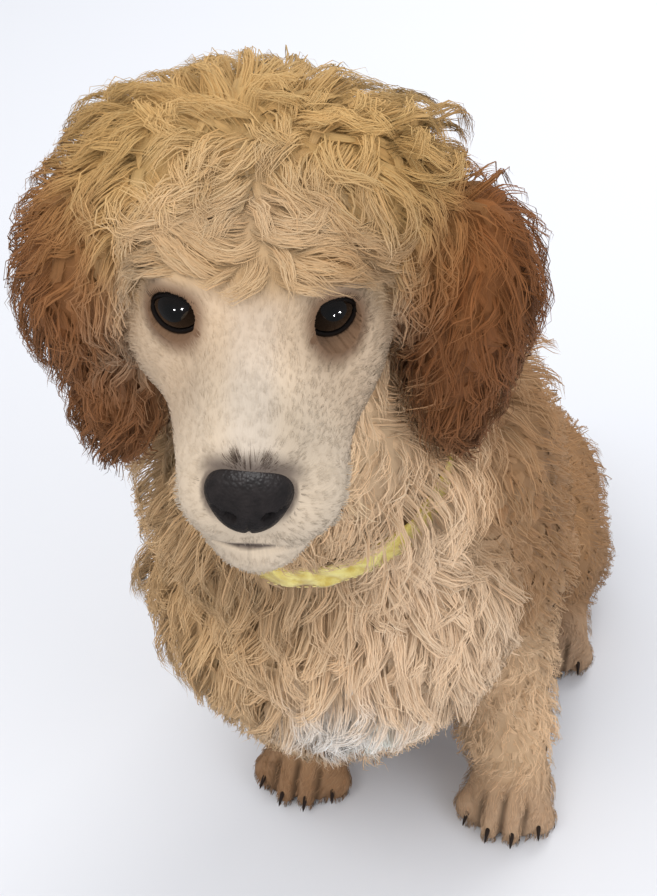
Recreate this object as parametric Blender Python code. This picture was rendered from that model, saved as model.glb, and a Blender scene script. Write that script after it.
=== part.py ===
"""A sitting standard poodle puppy with a collar, as a still, life-size model in metres, +Z up.

The dog faces -Y and its left side is +X. The origin is on the floor, under the middle of its box.
Flesh is a set of blended balls and limbs, each with the depth of coat that grows on it.
"""

import math

import bmesh
import bpy
import numpy as np
from mathutils import Euler, Matrix, Vector

# Driving dimensions
CENTRE = Vector((-0.0288, 0.0898, 0.0))  # middle of the footprint, measured from the left fore toes
GAP = 0.0003  # clearance between two nodes
VOXEL = 0.003  # grid that the body's first surface is wrapped on
SOLE = 0.0015  # flesh that the floor flattens under each foot
CORE_SHARE = 0.5  # how far the solid core reaches into the coat
CORE_FACES = 3600  # the bare core is thinned to this many faces
COAT_FACES = 7200  # and the fused coat to this many

# Clumps of curls
LEAST_COAT = 0.0085  # shorter coat than this has no clumps
BODY_SPACING = 0.034
HEAD_SPACING = 0.025
HEAD_FLOOR = 0.285  # the head's and ears' clumps are above this height
CLUMP_WIDTH = 0.58  # half-width as a share of the spacing
CLUMP_FLATNESS = 0.80  # half-thickness as a share of the half-width
CLUMP_REACH = 1.25  # along the lie as a share of the spacing
LOCK_REACH = 1.6  # the same for the ears' longer hair
CLUMP_ROOT = 0.009  # how deep each root is sunk
CLUMP_SIDES = 5
CLUMP_RINGS = ((0.10, 0.70), (0.50, 1.0), (0.86, 0.66))  # place along the clump, and width there
CLUMP_TURN = 0.6  # largest turn away from the lie, in radians
LEAST_HEIGHT = 0.001  # of a clump's middle line over the core
EAR_HAIR = 0.003  # this near to an ear's flap the hair is its own
EAR_MARGIN = 0.004  # an ear's parting from the head runs this far outside its hair
SEED = 11

# Head: its own frame has the skull's middle as origin and the muzzle along -Y
HEAD_AT = Vector((-0.0536, -0.0573, 0.3742))
HEAD_TURN = Euler((math.radians(3.5), math.radians(2.3), math.radians(16.2)), "XYZ")
EYE_AT = Vector((0.0248, -0.0385, 0.0085))  # left eye's middle; the right one is its mirror
EYE_RADIUS = 0.0112
EYE_OUTWARD = math.radians(20.0)
EYE_UPWARD = math.radians(9.0)
LID_THICK = 0.0020
LID_HALF_WIDTH = 0.0088
LID_HALF_HEIGHT = 0.0084
LIP_LINE = [(0.030, -0.062, -0.040), (0.025, -0.090, -0.0425), (0.013, -0.110, -0.0415), (0.0, -0.118, -0.0405)]
MUZZLE_SHIFT = 0.004  # the lips sit this far to the dog's left of the nose
LIP_GROOVE = 0.0014
EAR_CUP = (0.009, 0.015, 0.030)  # half-sizes of the hollow in each ear
EAR_CUP_INWARD = 0.023

# Collar
COLLAR_AT = Vector((-0.040, -0.016, 0.260))
COLLAR_TILT = Euler((math.radians(24.0), math.radians(-9.0), 0.0), "XYZ")
COLLAR_HALF_WIDTH = 0.060
COLLAR_HALF_DEPTH = 0.063
COLLAR_BAND = 0.018
COLLAR_THICK = 0.0026
COLLAR_CLEAR = 0.016  # how far out the coat is parted round the collar


class Ball:
    """An ellipsoid of flesh with its own turned axes."""

    def __init__(self, centre, radii, coat=0.0, blend=0.014, place=None):
        place = place or Matrix.Translation(-CENTRE)
        self.centre = np.array(place @ Vector(centre))
        self.turn = np.array(place.to_3x3())
        self.radii = np.array(radii, float)
        self.coat = coat
        self.blend = blend

    def gap(self, points, grow):
        radii = self.radii + grow * self.coat
        inside = (points - self.centre) @ self.turn
        share = np.linalg.norm(inside / radii, axis=1)
        slope = np.linalg.norm(inside / radii**2, axis=1)
        return share * (share - 1.0) / np.maximum(slope, 1e-6)

    def fill(self, bm, grow):
        radii = self.radii + grow * self.coat
        turned = Matrix(self.turn.tolist()).to_4x4() @ Matrix.Diagonal((*radii, 1.0))
        turned.translation = Vector(self.centre)
        bmesh.ops.create_icosphere(bm, subdivisions=3, radius=1.0, matrix=turned)


class Limb:
    """A round, tapered length of flesh between two balls."""

    def __init__(self, start, end, start_radius, end_radius, coat=0.0, blend=0.014, place=None):
        place = place or Matrix.Translation(-CENTRE)
        self.start = np.array(place @ Vector(start))
        self.end = np.array(place @ Vector(end))
        self.radii = (start_radius, end_radius)
        self.coat = coat
        self.blend = blend

    def gap(self, points, grow):
        along = self.end - self.start
        share = np.clip((points - self.start) @ along / (along @ along), 0.0, 1.0)
        radius = self.radii[0] + share * (self.radii[1] - self.radii[0]) + grow * self.coat
        return np.linalg.norm(points - self.start - share[:, None] * along, axis=1) - radius

    def fill(self, bm, grow):
        length = np.linalg.norm(self.end - self.start)
        steps = max(2, math.ceil(length / (0.4 * min(self.radii))))
        for step in range(steps + 1):
            share = step / steps
            radius = self.radii[0] + share * (self.radii[1] - self.radii[0]) + grow * self.coat
            place = Matrix.Translation(Vector(self.start + share * (self.end - self.start)))
            bmesh.ops.create_icosphere(bm, subdivisions=2, radius=radius, matrix=place)


HEAD = Matrix.Translation(HEAD_AT - CENTRE) @ HEAD_TURN.to_matrix().to_4x4()


def head_masses():
    """Skull, topknot, muzzle, lips, jaw and brows, in the head's frame."""
    parts = {
        "skull": Ball((0, 0, 0.006), (0.0385, 0.052, 0.036), coat=0.002, place=HEAD),
        "occiput": Ball((0, 0.040, 0.008), (0.028, 0.024, 0.026), coat=0.024, place=HEAD),
        "forehead": Ball((0, -0.026, 0.015), (0.030, 0.026, 0.020), coat=0.002, place=HEAD),
        "topknot": Ball((0, 0.018, 0.016), (0.034, 0.036, 0.026), coat=0.028, blend=0.008, place=HEAD),
        "muzzle": Limb((0, -0.036, -0.012), (MUZZLE_SHIFT, -0.090, -0.017), 0.028, 0.0225, 0.002, place=HEAD),
        "bridge": Limb((0, -0.044, 0.004), (0, -0.100, -0.004), 0.013, 0.011, coat=0.002, place=HEAD),
        "jaw": Limb((0, -0.030, -0.034), (0.003, -0.099, -0.0455), 0.018, 0.0135, 0.002, 0.008, HEAD),
        "right_cheek": Ball((-0.027, -0.014, -0.014), (0.017, 0.028, 0.021), coat=0.004, place=HEAD),
        "left_cheek": Ball((0.034, -0.020, -0.016), (0.019, 0.034, 0.024), coat=0.004, place=HEAD),
    }
    for side in (-1, 1):
        crest = Ball((side * 0.030, 0.014, 0.019), (0.026, 0.030, 0.020), 0.026, 0.008, HEAD)
        lip_back = (side * 0.012 + MUZZLE_SHIFT / 2, -0.050, -0.024)
        lip_front = (side * 0.011 + MUZZLE_SHIFT, -0.099, -0.0265)
        lip = Limb(lip_back, lip_front, 0.0180, 0.0165, coat=0.002, blend=0.008, place=HEAD)
        brow = Ball((side * 0.023, -0.038, 0.0225), (0.012, 0.010, 0.006), 0.001, 0.006, HEAD)
        lids = Ball((side * EYE_AT.x, EYE_AT.y, EYE_AT.z), (EYE_RADIUS + LID_THICK,) * 3, 0.0, 0.005, HEAD)
        parts |= {(side, "crest"): crest, (side, "lip"): lip}
        parts |= {(side, "brow"): brow, (side, "lids"): lids}
    return list(parts.values())


EAR_OUT = {-1: -0.063, 1: 0.083}  # the left ear stands further out
EAR_DROP = {-1: 0.052, 1: 0.044}  # and the right one hangs a little lower


def ear_masses(side):
    """One ear flap with its long hair, hanging from the side of the skull."""
    outward = EAR_OUT[side]
    drop = EAR_DROP[side]
    parts = {
        "root": Ball((side * 0.055, 0.004, 0.004), (0.015, 0.021, 0.015), 0.016, 0.012, HEAD),
        "flap": Ball((outward, 0.004, -0.010), (0.014, 0.023, 0.028), 0.018, 0.014, HEAD),
        "hem": Ball((outward - side * 0.008, 0.006, -drop), (0.009, 0.018, 0.030), 0.017, 0.014, HEAD),
    }
    return list(parts.values())


def trunk_masses():
    """Neck, ribcage, chest, belly, pelvis and tail."""
    parts = {
        "neck": Limb((-0.054, -0.044, 0.350), (-0.041, -0.020, 0.264), 0.037, 0.043, 0.011, 0.012),
        "withers": Limb((-0.044, -0.018, 0.252), (-0.030, 0.020, 0.235), 0.045, 0.054, 0.022, 0.02),
        "ribcage": Ball((-0.031, 0.060, 0.215), (0.060, 0.064, 0.090), coat=0.023, blend=0.03),
        "chest": Ball((-0.040, 0.000, 0.167), (0.062, 0.048, 0.071), coat=0.034, blend=0.03),
        "belly": Ball((-0.017, 0.130, 0.135), (0.054, 0.058, 0.080), coat=0.019, blend=0.03),
        "pelvis": Ball((-0.004, 0.185, 0.082), (0.048, 0.062, 0.062), coat=0.018, blend=0.03),
        "tail": Limb((0.0, 0.235, 0.050), (0.012, 0.300, 0.024), 0.015, 0.010, coat=0.016, blend=0.02),
        "tail_tip": Ball((0.016, 0.318, 0.028), (0.016, 0.020, 0.014), coat=0.018, blend=0.012),
    }
    return list(parts.values())


FORE_PAWS = {"left": (0.053, 0.030), "right": (-0.059, 0.026)}
HIND_PAWS = {"left": (0.056, 0.158), "right": (-0.060, 0.158)}


def foreleg_masses(name):
    """Upper arm, forearm and pastern, from the shoulder down to the paw."""
    side = 1 if name == "left" else -1
    paw_x, paw_y = FORE_PAWS[name]
    shoulder = (-0.036 + side * 0.046, 0.026, 0.240)
    elbow = (-0.022 + side * 0.052, 0.056, 0.150)
    wrist = (0.85 * paw_x, paw_y + 0.014, 0.052)
    return [
        Limb(shoulder, elbow, 0.035, 0.026, coat=0.022, blend=0.02),
        Limb(elbow, wrist, 0.020, 0.0145, coat=0.016, blend=0.012),
        Limb(wrist, (paw_x, paw_y + 0.006, 0.020), 0.0145, 0.0150, coat=0.009, blend=0.012),
    ]


def hindleg_masses(name):
    """Folded thigh, shank and hock of the sitting dog."""
    side = 1 if name == "left" else -1
    paw_x, paw_y = HIND_PAWS[name]
    knee = (side * 0.041, 0.120, 0.112)
    hock = (paw_x + side * 0.001, 0.212, 0.030)
    return [
        Limb((side * 0.028, 0.188, 0.095), knee, 0.038, 0.028, coat=0.012, blend=0.02),
        Limb(knee, hock, 0.027, 0.015, coat=0.014, blend=0.014),
        Limb(hock, (paw_x, paw_y + 0.010, 0.017), 0.014, 0.013, coat=0.010, blend=0.012),
    ]


TOE_RADIUS = 0.0088
TOE_SPREAD = 0.0118
TOE_REACH = (0.020, 0.0285, 0.0285, 0.020)  # how far each toe's ball lies ahead of the paw's middle


def toe_balls(paw):
    """Middle of each toe's end ball, from the dog's right to its left."""
    paw_x, paw_y = paw
    return [
        Vector((paw_x + (i - 1.5) * TOE_SPREAD, paw_y - reach + TOE_RADIUS, TOE_RADIUS - SOLE))
        for i, reach in enumerate(TOE_REACH)
    ]


def paw_masses(paw):
    paw_x, paw_y = paw
    masses = [Ball((paw_x, paw_y, 0.0125), (0.0185, 0.022, 0.014), coat=0.003, blend=0.010)]
    for ball in toe_balls(paw):
        knuckle = (paw_x + 0.65 * (ball.x - paw_x), paw_y - 0.001, 0.0165)
        masses.append(Limb(knuckle, ball, 0.0088, TOE_RADIUS, coat=0.001, blend=0.004))
    return masses


def nose_masses():
    """The leathery pad in the head's frame."""
    return [
        Ball((0, -0.1120, -0.0150), (0.0152, 0.0100, 0.0105), blend=0.005, place=HEAD),
        Ball((0, -0.1115, -0.0218), (0.0110, 0.0095, 0.0105), blend=0.005, place=HEAD),
    ]


def blended_gap(points, masses, grow):
    """Distance from each point to the masses' blended surface, negative inside."""
    total = np.full(len(points), 1.0)
    for mass in masses:
        near = mass.gap(points, grow)
        share = np.clip(0.5 + 0.5 * (total - near) / mass.blend, 0.0, 1.0)
        total += (near - total) * share - mass.blend * share * (1.0 - share)
    return total


def settle(points, masses, grow, offset=0.0, rounds=4, step=1e-4):
    """Moves points along the slope of the distance until they lie on the blended surface."""
    for _ in range(rounds):
        here = blended_gap(points, masses, grow)
        slope = np.stack(
            [(blended_gap(points + shift, masses, grow) - here) / step for shift in np.eye(3) * step], 1
        )
        move = ((here - offset) / np.maximum((slope**2).sum(1), 0.05))[:, None] * slope
        points = points - np.clip(move, -0.006, 0.006)
    return points


def add_object(name, mesh):
    thing = bpy.data.objects.new(name, mesh)
    bpy.context.scene.collection.objects.link(thing)
    return thing


def object_from(name, bm):
    mesh = bpy.data.meshes.new(name)
    bm.to_mesh(mesh)
    bm.free()
    return add_object(name, mesh)


def apply_modifiers(thing):
    graph = bpy.context.evaluated_depsgraph_get()
    graph.update()
    old = thing.data
    thing.data = bpy.data.meshes.new_from_object(thing.evaluated_get(graph))
    thing.modifiers.clear()
    bpy.data.meshes.remove(old)


def remove(thing):
    mesh = thing.data
    bpy.data.objects.remove(thing)
    if mesh.users == 0:
        bpy.data.meshes.remove(mesh)


def keep_largest(thing):
    """Keeps the closed surface with the largest area and drops loose scraps."""
    bm = bmesh.new()
    bm.from_mesh(thing.data)
    waiting = set(bm.faces)
    pieces = []
    while waiting:
        piece = [waiting.pop()]
        for face in piece:
            for edge in face.edges:
                for other in edge.link_faces:
                    if other in waiting:
                        waiting.remove(other)
                        piece.append(other)
        pieces.append(piece)
    pieces.sort(key=lambda piece: sum(face.calc_area() for face in piece))
    for piece in pieces[:-1]:
        bmesh.ops.delete(bm, geom=piece, context="FACES")
    bmesh.ops.triangulate(bm, faces=bm.faces)
    bm.to_mesh(thing.data)
    bm.free()


def boolean(thing, other, operation):
    """Cuts or joins with one object or with a collection of them, and keeps one closed surface."""
    modifier = thing.modifiers.new("Boolean", "BOOLEAN")
    modifier.operation = operation
    modifier.solver = "MANIFOLD"  # the exact solver loses the body at some of these cuts
    if isinstance(other, bpy.types.Collection):
        modifier.operand_type = "COLLECTION"
        modifier.collection = other
    else:
        modifier.object = other
    apply_modifiers(thing)
    keep_largest(thing)


def blended_surface(name, masses, grow, voxel, offset=0.0):
    """A closed skin round the masses: wrapped on a grid, then settled on their blended surface."""
    bm = bmesh.new()
    for mass in masses:
        mass.fill(bm, grow)
    thing = object_from(name, bm)
    remesh = thing.modifiers.new("Wrap", "REMESH")
    remesh.mode = "VOXEL"
    remesh.voxel_size = voxel
    apply_modifiers(thing)
    points = np.empty(len(thing.data.vertices) * 3)
    thing.data.vertices.foreach_get("co", points)
    points = settle(points.reshape(-1, 3), masses, grow, offset)
    thing.data.vertices.foreach_set("co", points.ravel())
    thing.data.update()
    keep_largest(thing)
    return thing


def coat_depth(points, masses):
    """Depth of the coat above each point of the core, from the masses nearest to it."""
    total = np.zeros(len(points))
    weights = np.full(len(points), 1e-9)
    for mass in masses:
        weight = np.exp(-np.maximum(mass.gap(points, CORE_SHARE), 0.0) / 0.005)
        total += weight * mass.coat
        weights += weight
    return total / weights


def lie_of_coat(point):
    """The way the hair falls at a point: away from the crown, down the body and along the tail."""
    crown = HEAD @ Vector((0, 0.012, 0.030))
    if point.z > crown.z - 0.030:
        return Vector((point.x - crown.x, point.y - crown.y, -0.030)).normalized()
    if point.y + CENTRE.y > 0.25:
        return Vector((0.2, 1.0, -0.2)).normalized()
    return Vector((0, 0.3, -1.0)).normalized()


def clump(line, normal, half_width, rng):
    """One rounded clump of curls: rings along a bent line from a sunk root to a blunt tip."""
    start, middle, end = line
    aside = normal.cross(end - start).normalized()
    bm = bmesh.new()
    rings = []
    for share, width in CLUMP_RINGS:
        centre = (1 - share) ** 2 * start + 2 * share * (1 - share) * middle + share**2 * end
        along = ((1 - share) * (middle - start) + share * (end - middle)).normalized()
        across = along.cross(aside).normalized()
        ring = []
        for i in range(CLUMP_SIDES):
            angle = 2 * math.pi * (i + 0.5 * len(rings)) / CLUMP_SIDES
            size = half_width * width * rng.uniform(0.9, 1.1)
            offset = aside * math.cos(angle) + across * (CLUMP_FLATNESS * math.sin(angle))
            ring.append(bm.verts.new(centre + size * offset))
        rings.append(ring)
    root = bm.verts.new(start)
    tip = bm.verts.new(end)
    for first, second in zip(rings, rings[1:]):
        for i in range(CLUMP_SIDES):
            j = (i + 1) % CLUMP_SIDES
            bm.faces.new((first[i], first[j], second[i]))
            bm.faces.new((first[j], second[j], second[i]))
    for i in range(CLUMP_SIDES):
        j = (i + 1) % CLUMP_SIDES
        bm.faces.new((rings[0][j], rings[0][i], root))
        bm.faces.new((rings[-1][i], rings[-1][j], tip))
    bmesh.ops.recalc_face_normals(bm, faces=bm.faces)
    return object_from("clump", bm)


def clump_places(surface, masses, rng):
    """Spots spread evenly over the coat, each with its normal, the coat's depth and the spacing."""
    mesh = surface.data
    count = len(mesh.vertices)
    points = np.empty(count * 3)
    normals = np.empty(count * 3)
    mesh.vertices.foreach_get("co", points)
    mesh.vertices.foreach_get("normal", normals)
    points, normals = points.reshape(-1, 3), normals.reshape(-1, 3)
    coat = coat_depth(points, masses)
    spacing = np.where(points[:, 2] > HEAD_FLOOR, HEAD_SPACING, BODY_SPACING)
    chosen = []
    for i in rng.permutation(count):
        if coat[i] < LEAST_COAT or points[i, 2] < 0.006:
            continue
        if chosen and ((points[chosen] - points[i]) ** 2).sum(1).min() < spacing[i] ** 2:
            continue
        chosen.append(i)
    return points[chosen], normals[chosen], coat[chosen], spacing[chosen]


def grow_clumps(core, places, masses, rng):
    """Sets a clump at each place, bent along the body, and fuses them all to the core in one union."""
    points, normals, coat, spacing = places
    ears = ear_masses(-1) + ear_masses(1)
    on_ear = blended_gap(points, ears, CORE_SHARE) < EAR_HAIR
    reach = spacing * np.where(on_ear, LOCK_REACH, CLUMP_REACH) * rng.uniform(0.85, 1.2, len(points))
    lies = []
    for place, normal in zip(points, normals):
        normal = Vector(normal)
        lie = lie_of_coat(Vector(place))
        lie = lie - normal * lie.dot(normal)
        if lie.length < 0.2:
            lie = normal.orthogonal()
        turn = Matrix.Rotation(rng.uniform(-CLUMP_TURN, CLUMP_TURN), 3, normal)
        lies.append(turn @ lie.normalized())
    half_steps = 0.5 * np.array(lies) * reach[:, None]
    half_width = CLUMP_WIDTH * spacing
    height = (1.0 - CORE_SHARE) * coat - CLUMP_FLATNESS * half_width
    height = np.maximum(height, 0.0) * rng.uniform(0.9, 1.2, len(height)) + LEAST_HEIGHT
    starts = settle(points - half_steps, masses, CORE_SHARE, -CLUMP_ROOT)
    middles = settle(points, masses, CORE_SHARE, 2.0 * height)
    ends = settle(points + half_steps, masses, CORE_SHARE, height)
    clumps = bpy.data.collections.new("clumps")
    for start, middle, end, normal, width in zip(starts, middles, ends, normals, half_width):
        thing = clump((Vector(start), Vector(middle), Vector(end)), Vector(normal), float(width), rng)
        bpy.context.scene.collection.objects.unlink(thing)
        clumps.objects.link(thing)
    boolean(core, clumps, "UNION")
    for thing in list(clumps.objects):
        remove(thing)
    bpy.data.collections.remove(clumps)


def thin_out(thing, faces):
    modifier = thing.modifiers.new("Thin", "DECIMATE")
    modifier.ratio = min(1.0, faces / len(thing.data.polygons))
    modifier.use_collapse_triangulate = True
    apply_modifiers(thing)
    keep_largest(thing)


def box(name, low, high, place, grow=0.0):
    """A block between two corners of a turned frame, grown on every side."""
    bm = bmesh.new()
    bmesh.ops.create_cube(bm, size=1.0)
    middle = (Vector(low) + Vector(high)) / 2
    size = Vector(high) - Vector(low) + Vector((2 * grow,) * 3)
    bm.transform(place @ Matrix.Translation(middle) @ Matrix.Diagonal((*size, 1.0)))
    return object_from(name, bm)


def swell(thing, distance):
    """Moves a smooth closed surface outwards along its normals."""
    normals = [vertex.normal.copy() for vertex in thing.data.vertices]
    for vertex, normal in zip(thing.data.vertices, normals):
        vertex.co += normal * distance


def ear_mould(side):
    """A smooth envelope round one ear, past the tips of its hair."""
    mould = blended_surface("mould", ear_masses(side), 1.0, 0.004, offset=EAR_MARGIN)
    thin_out(mould, 200)
    return mould


WORLD = Matrix.Translation(-CENTRE)
NECK_TILT = Euler((math.radians(30), 0, 0)).to_matrix().to_4x4()
NECK_CUT = WORLD @ Matrix.Translation((-0.046, -0.040, 0.330)) @ NECK_TILT
CHEST_CUT = WORLD @ Matrix.Translation((-0.038, -0.020, 0.247)) @ NECK_TILT
PARTINGS = [
    ("head", (-0.2, -0.2, 0.0), (0.2, 0.2, 0.2), NECK_CUT),
    ("neck", (-0.2, -0.2, 0.0), (0.2, 0.2, 0.12), CHEST_CUT),
    ("forepaw_left", (0.024, -0.010, -0.01), (0.095, 0.075, 0.021), WORLD),
    ("forepaw_right", (-0.100, -0.015, -0.01), (-0.028, 0.072, 0.021), WORLD),
    ("foreleg_left", (0.010, -0.030, 0.0), (0.120, 0.090, 0.140), WORLD),
    ("foreleg_right", (-0.140, -0.030, 0.0), (-0.030, 0.090, 0.140), WORLD),
    ("hindpaw_left", (0.030, 0.120, -0.01), (0.110, 0.186, 0.024), WORLD),
    ("hindpaw_right", (-0.105, 0.120, -0.01), (-0.034, 0.186, 0.024), WORLD),
    ("hindleg_left", (0.034, 0.091, -0.01), (0.140, 0.270, 0.155), WORLD),
    ("hindleg_right", (-0.140, 0.091, -0.01), (-0.036, 0.270, 0.155), WORLD),
    ("tail", (-0.1, 0.245, -0.01), (0.14, 0.42, 0.12), WORLD),
]


def split(whole, name, inner, outer):
    """Takes what lies in the inner shape as a node, and cuts the wider outer shape from the rest."""
    piece = add_object(name, whole.data.copy())
    boolean(piece, inner, "INTERSECT")
    boolean(whole, outer, "DIFFERENCE")
    remove(inner)
    remove(outer)


def part_whole(whole):
    """Divides the body into its named parts with cuts as wide as the gap."""
    for name, side in (("ear_left", 1), ("ear_right", -1)):
        inner = ear_mould(side)
        outer = add_object("outer", inner.data.copy())
        swell(outer, 1.15 * GAP)
        split(whole, name, inner, outer)
    for name, low, high, place in PARTINGS:
        split(whole, name, box("inner", low, high, place), box("outer", low, high, place, GAP))
    whole.name = "torso"


def ball_mesh(bm, centre, radii, place, rings=8, sides=14):
    matrix = place @ Matrix.Translation(centre) @ Matrix.Diagonal((*radii, 1.0))
    bmesh.ops.create_uvsphere(bm, u_segments=sides, v_segments=rings, radius=1.0, matrix=matrix)


def gaze(side):
    """Frame of one eye: its middle, with -Y along the gaze."""
    middle = Vector((side * EYE_AT.x, EYE_AT.y, EYE_AT.z))
    turn = Matrix.Rotation(side * EYE_OUTWARD, 4, "Z") @ Matrix.Rotation(-EYE_UPWARD, 4, "X")
    return HEAD @ Matrix.Translation(middle) @ turn


def make_eyes(head):
    """Eyeballs in their sockets, with the lids' almond opening cut in front of each."""
    for name, side in (("left", 1), ("right", -1)):
        bm = bmesh.new()
        ball_mesh(bm, (0, 0, 0), (EYE_RADIUS,) * 3, gaze(side))
        eye = object_from(f"eye_{name}", bm)
        cutters = bpy.data.collections.new("eye_cutters")
        bm = bmesh.new()
        ball_mesh(bm, (0, 0, 0), (EYE_RADIUS + GAP,) * 3, gaze(side))
        cutters.objects.link(object_from("socket", bm))
        bm = bmesh.new()
        ball_mesh(bm, (0, -0.012, 0), (LID_HALF_WIDTH, 0.012, LID_HALF_HEIGHT), gaze(side))
        cutters.objects.link(object_from("opening", bm))
        boolean(head, cutters, "DIFFERENCE")
        for cutter in list(cutters.objects):
            remove(cutter)
        bpy.data.collections.remove(cutters)
        shade(eye)


def hollow_ear(side):
    """The cup of one ear: the shallow hollow down the inner face of its flap."""
    ear = bpy.data.objects["ear_left" if side > 0 else "ear_right"]
    bm = bmesh.new()
    middle = (EAR_OUT[side] - side * EAR_CUP_INWARD, 0.0, -0.022)
    ball_mesh(bm, middle, EAR_CUP, HEAD, 8, 12)
    cup = object_from("cup", bm)
    boolean(ear, cup, "DIFFERENCE")
    remove(cup)


def tube(name, points, radius, sides=6):
    """A round tube with closed ends along a polyline."""
    curve = bpy.data.curves.new(name, "CURVE")
    curve.dimensions = "3D"
    curve.bevel_depth = radius
    curve.bevel_resolution = max(1, sides // 2 - 1)
    curve.use_fill_caps = True
    line = curve.splines.new("POLY")
    line.points.add(len(points) - 1)
    for spot, point in zip(line.points, points):
        spot.co = (*point, 1.0)
    thing = bpy.data.objects.new(name, curve)
    bpy.context.scene.collection.objects.link(thing)
    graph = bpy.context.evaluated_depsgraph_get()
    bm = bmesh.new()
    bm.from_mesh(thing.evaluated_get(graph).to_mesh())
    bmesh.ops.remove_doubles(bm, verts=bm.verts, dist=1e-5)
    bmesh.ops.recalc_face_normals(bm, faces=bm.faces)
    bpy.data.objects.remove(thing)
    bpy.data.curves.remove(curve)
    return object_from(name, bm)


def smooth_line(points, steps=5):
    """Points along a smooth line through the given ones."""
    spots = [Vector(point) for point in points]
    spots = [2 * spots[0] - spots[1], *spots, 2 * spots[-1] - spots[-2]]
    line = []
    for i in range(1, len(spots) - 2):
        before, start, end, after = spots[i - 1 : i + 3]
        for step in range(steps):
            t = step / steps
            line.append(
                0.5
                * (
                    2 * start
                    + (end - before) * t
                    + (2 * before - 5 * start + 4 * end - after) * t**2
                    + (3 * start - before - 3 * end + after) * t**3
                )
            )
    line.append(spots[-2])
    return line


def make_mouth(head, masses):
    """The line of the mouth, as a groove between the lips from corner to corner."""
    left = smooth_line(LIP_LINE)
    right = [Vector((-point.x, point.y, point.z)) for point in reversed(left[:-1])]
    path = [HEAD @ point for point in left + right]
    path = settle(np.array([tuple(point) for point in path]), masses, CORE_SHARE)
    groove = tube("mouth_groove", [Vector(point) for point in path], LIP_GROOVE)
    boolean(head, groove, "DIFFERENCE")
    remove(groove)


def make_nose(head):
    """The nose pad with its nostrils, set into the end of the muzzle."""
    nose = blended_surface("nose", nose_masses(), 0.0, 0.0012)
    thin_out(nose, 320)
    pocket = add_object("pocket", nose.data.copy())
    swell(pocket, 1.2 * GAP)
    boolean(head, pocket, "DIFFERENCE")
    remove(pocket)
    for side in (-1, 1):
        bm = bmesh.new()
        ball_mesh(bm, (side * 0.0068, -0.1205, -0.0205), (0.0024, 0.0045, 0.0028), HEAD, 6, 8)
        nostril = object_from("nostril", bm)
        boolean(nose, nostril, "DIFFERENCE")
        remove(nostril)
    shade(nose)


def claw_mesh(name, root, ahead, radius, length, grow=0.0):
    """A short curved claw: five-sided rings along an arc that drops towards the floor."""
    bm = bmesh.new()
    rings = []
    side_axis = Vector((ahead.y, -ahead.x, 0)).normalized()
    for share in (0.0, 0.45, 0.8):
        middle = root + ahead * (share * length) + Vector((0, 0, -0.0035 * share**2))
        if share == 0.0:
            middle = middle - ahead * grow
        size = radius * (1.0 - 0.55 * share) + grow
        ring = []
        for i in range(5):
            angle = 2 * math.pi * i / 5
            offset = side_axis * (0.8 * size * math.sin(angle)) + Vector((0, 0, size * math.cos(angle)))
            ring.append(bm.verts.new(middle + offset))
        rings.append(ring)
    tip = bm.verts.new(root + ahead * (length + grow) + Vector((0, 0, -0.0042)))
    bm.faces.new(rings[0])
    for first, second in zip(rings, rings[1:]):
        for i in range(5):
            bm.faces.new((first[i], first[(i + 1) % 5], second[(i + 1) % 5], second[i]))
    for i in range(5):
        bm.faces.new((rings[-1][i], rings[-1][(i + 1) % 5], tip))
    bmesh.ops.recalc_face_normals(bm, faces=bm.faces)
    bmesh.ops.triangulate(bm, faces=bm.faces)
    return object_from(name, bm)


def make_claws(paw_object, paw, label):
    """Four claws, each rooted in a pocket in its toe's end."""
    for i, ball in enumerate(toe_balls(paw)):
        ahead = Vector((0.12 * (i - 1.5), -1.0, 0.0)).normalized()
        root = ball - CENTRE + ahead * (TOE_RADIUS - 0.0030) + Vector((0, 0, 0.0022))
        claw = claw_mesh(f"claw_{label}_{i + 1}", root, ahead, 0.0023, 0.0095)
        pocket = claw_mesh("pocket", root, ahead, 0.0023, 0.0095, GAP)
        boolean(paw_object, pocket, "DIFFERENCE")
        remove(pocket)
        shade(claw)


def ring_band(name, half_width, half_depth, thick, band, sides=28):
    """A flat band bent into an oval ring round the neck's axis."""
    bm = bmesh.new()
    loops = []
    for outward, up in ((0, -1), (1, -1), (1, 1), (0, 1)):
        loop = []
        for i in range(sides):
            angle = 2 * math.pi * i / sides
            x = (half_width + outward * thick) * math.cos(angle)
            y = (half_depth + outward * thick) * math.sin(angle)
            loop.append(bm.verts.new((x, y, up * band / 2)))
        loops.append(loop)
    for first, second in zip(loops, loops[1:] + loops[:1]):
        for i in range(sides):
            j = (i + 1) % sides
            bm.faces.new((first[i], first[j], second[j], second[i]))
    bmesh.ops.recalc_face_normals(bm, faces=bm.faces)
    bmesh.ops.triangulate(bm, faces=bm.faces)
    bm.transform(Matrix.Translation(COLLAR_AT - CENTRE) @ COLLAR_TILT.to_matrix().to_4x4())
    return object_from(name, bm)


def make_collar(whole):
    """The collar, in a groove that it presses into the neck's coat."""
    collar = ring_band("collar", COLLAR_HALF_WIDTH, COLLAR_HALF_DEPTH, COLLAR_THICK, COLLAR_BAND)
    half_width, half_depth = COLLAR_HALF_WIDTH - GAP, COLLAR_HALF_DEPTH - GAP
    groove = ring_band("groove", half_width, half_depth, COLLAR_CLEAR, COLLAR_BAND + 2 * GAP)
    boolean(whole, groove, "DIFFERENCE")
    remove(groove)
    shade(collar)


def shade(thing):
    thing.data.shade_smooth()
    thing.data.set_sharp_from_angle(angle=math.radians(50))


def material(name, colour, roughness):
    made = bpy.data.materials.new(name)
    made.use_nodes = True
    shader = made.node_tree.nodes["Principled BSDF"]
    shader.inputs["Base Color"].default_value = (*colour, 1.0)
    shader.inputs["Roughness"].default_value = roughness
    shader.inputs["Metallic"].default_value = 0.0
    return made


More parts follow.
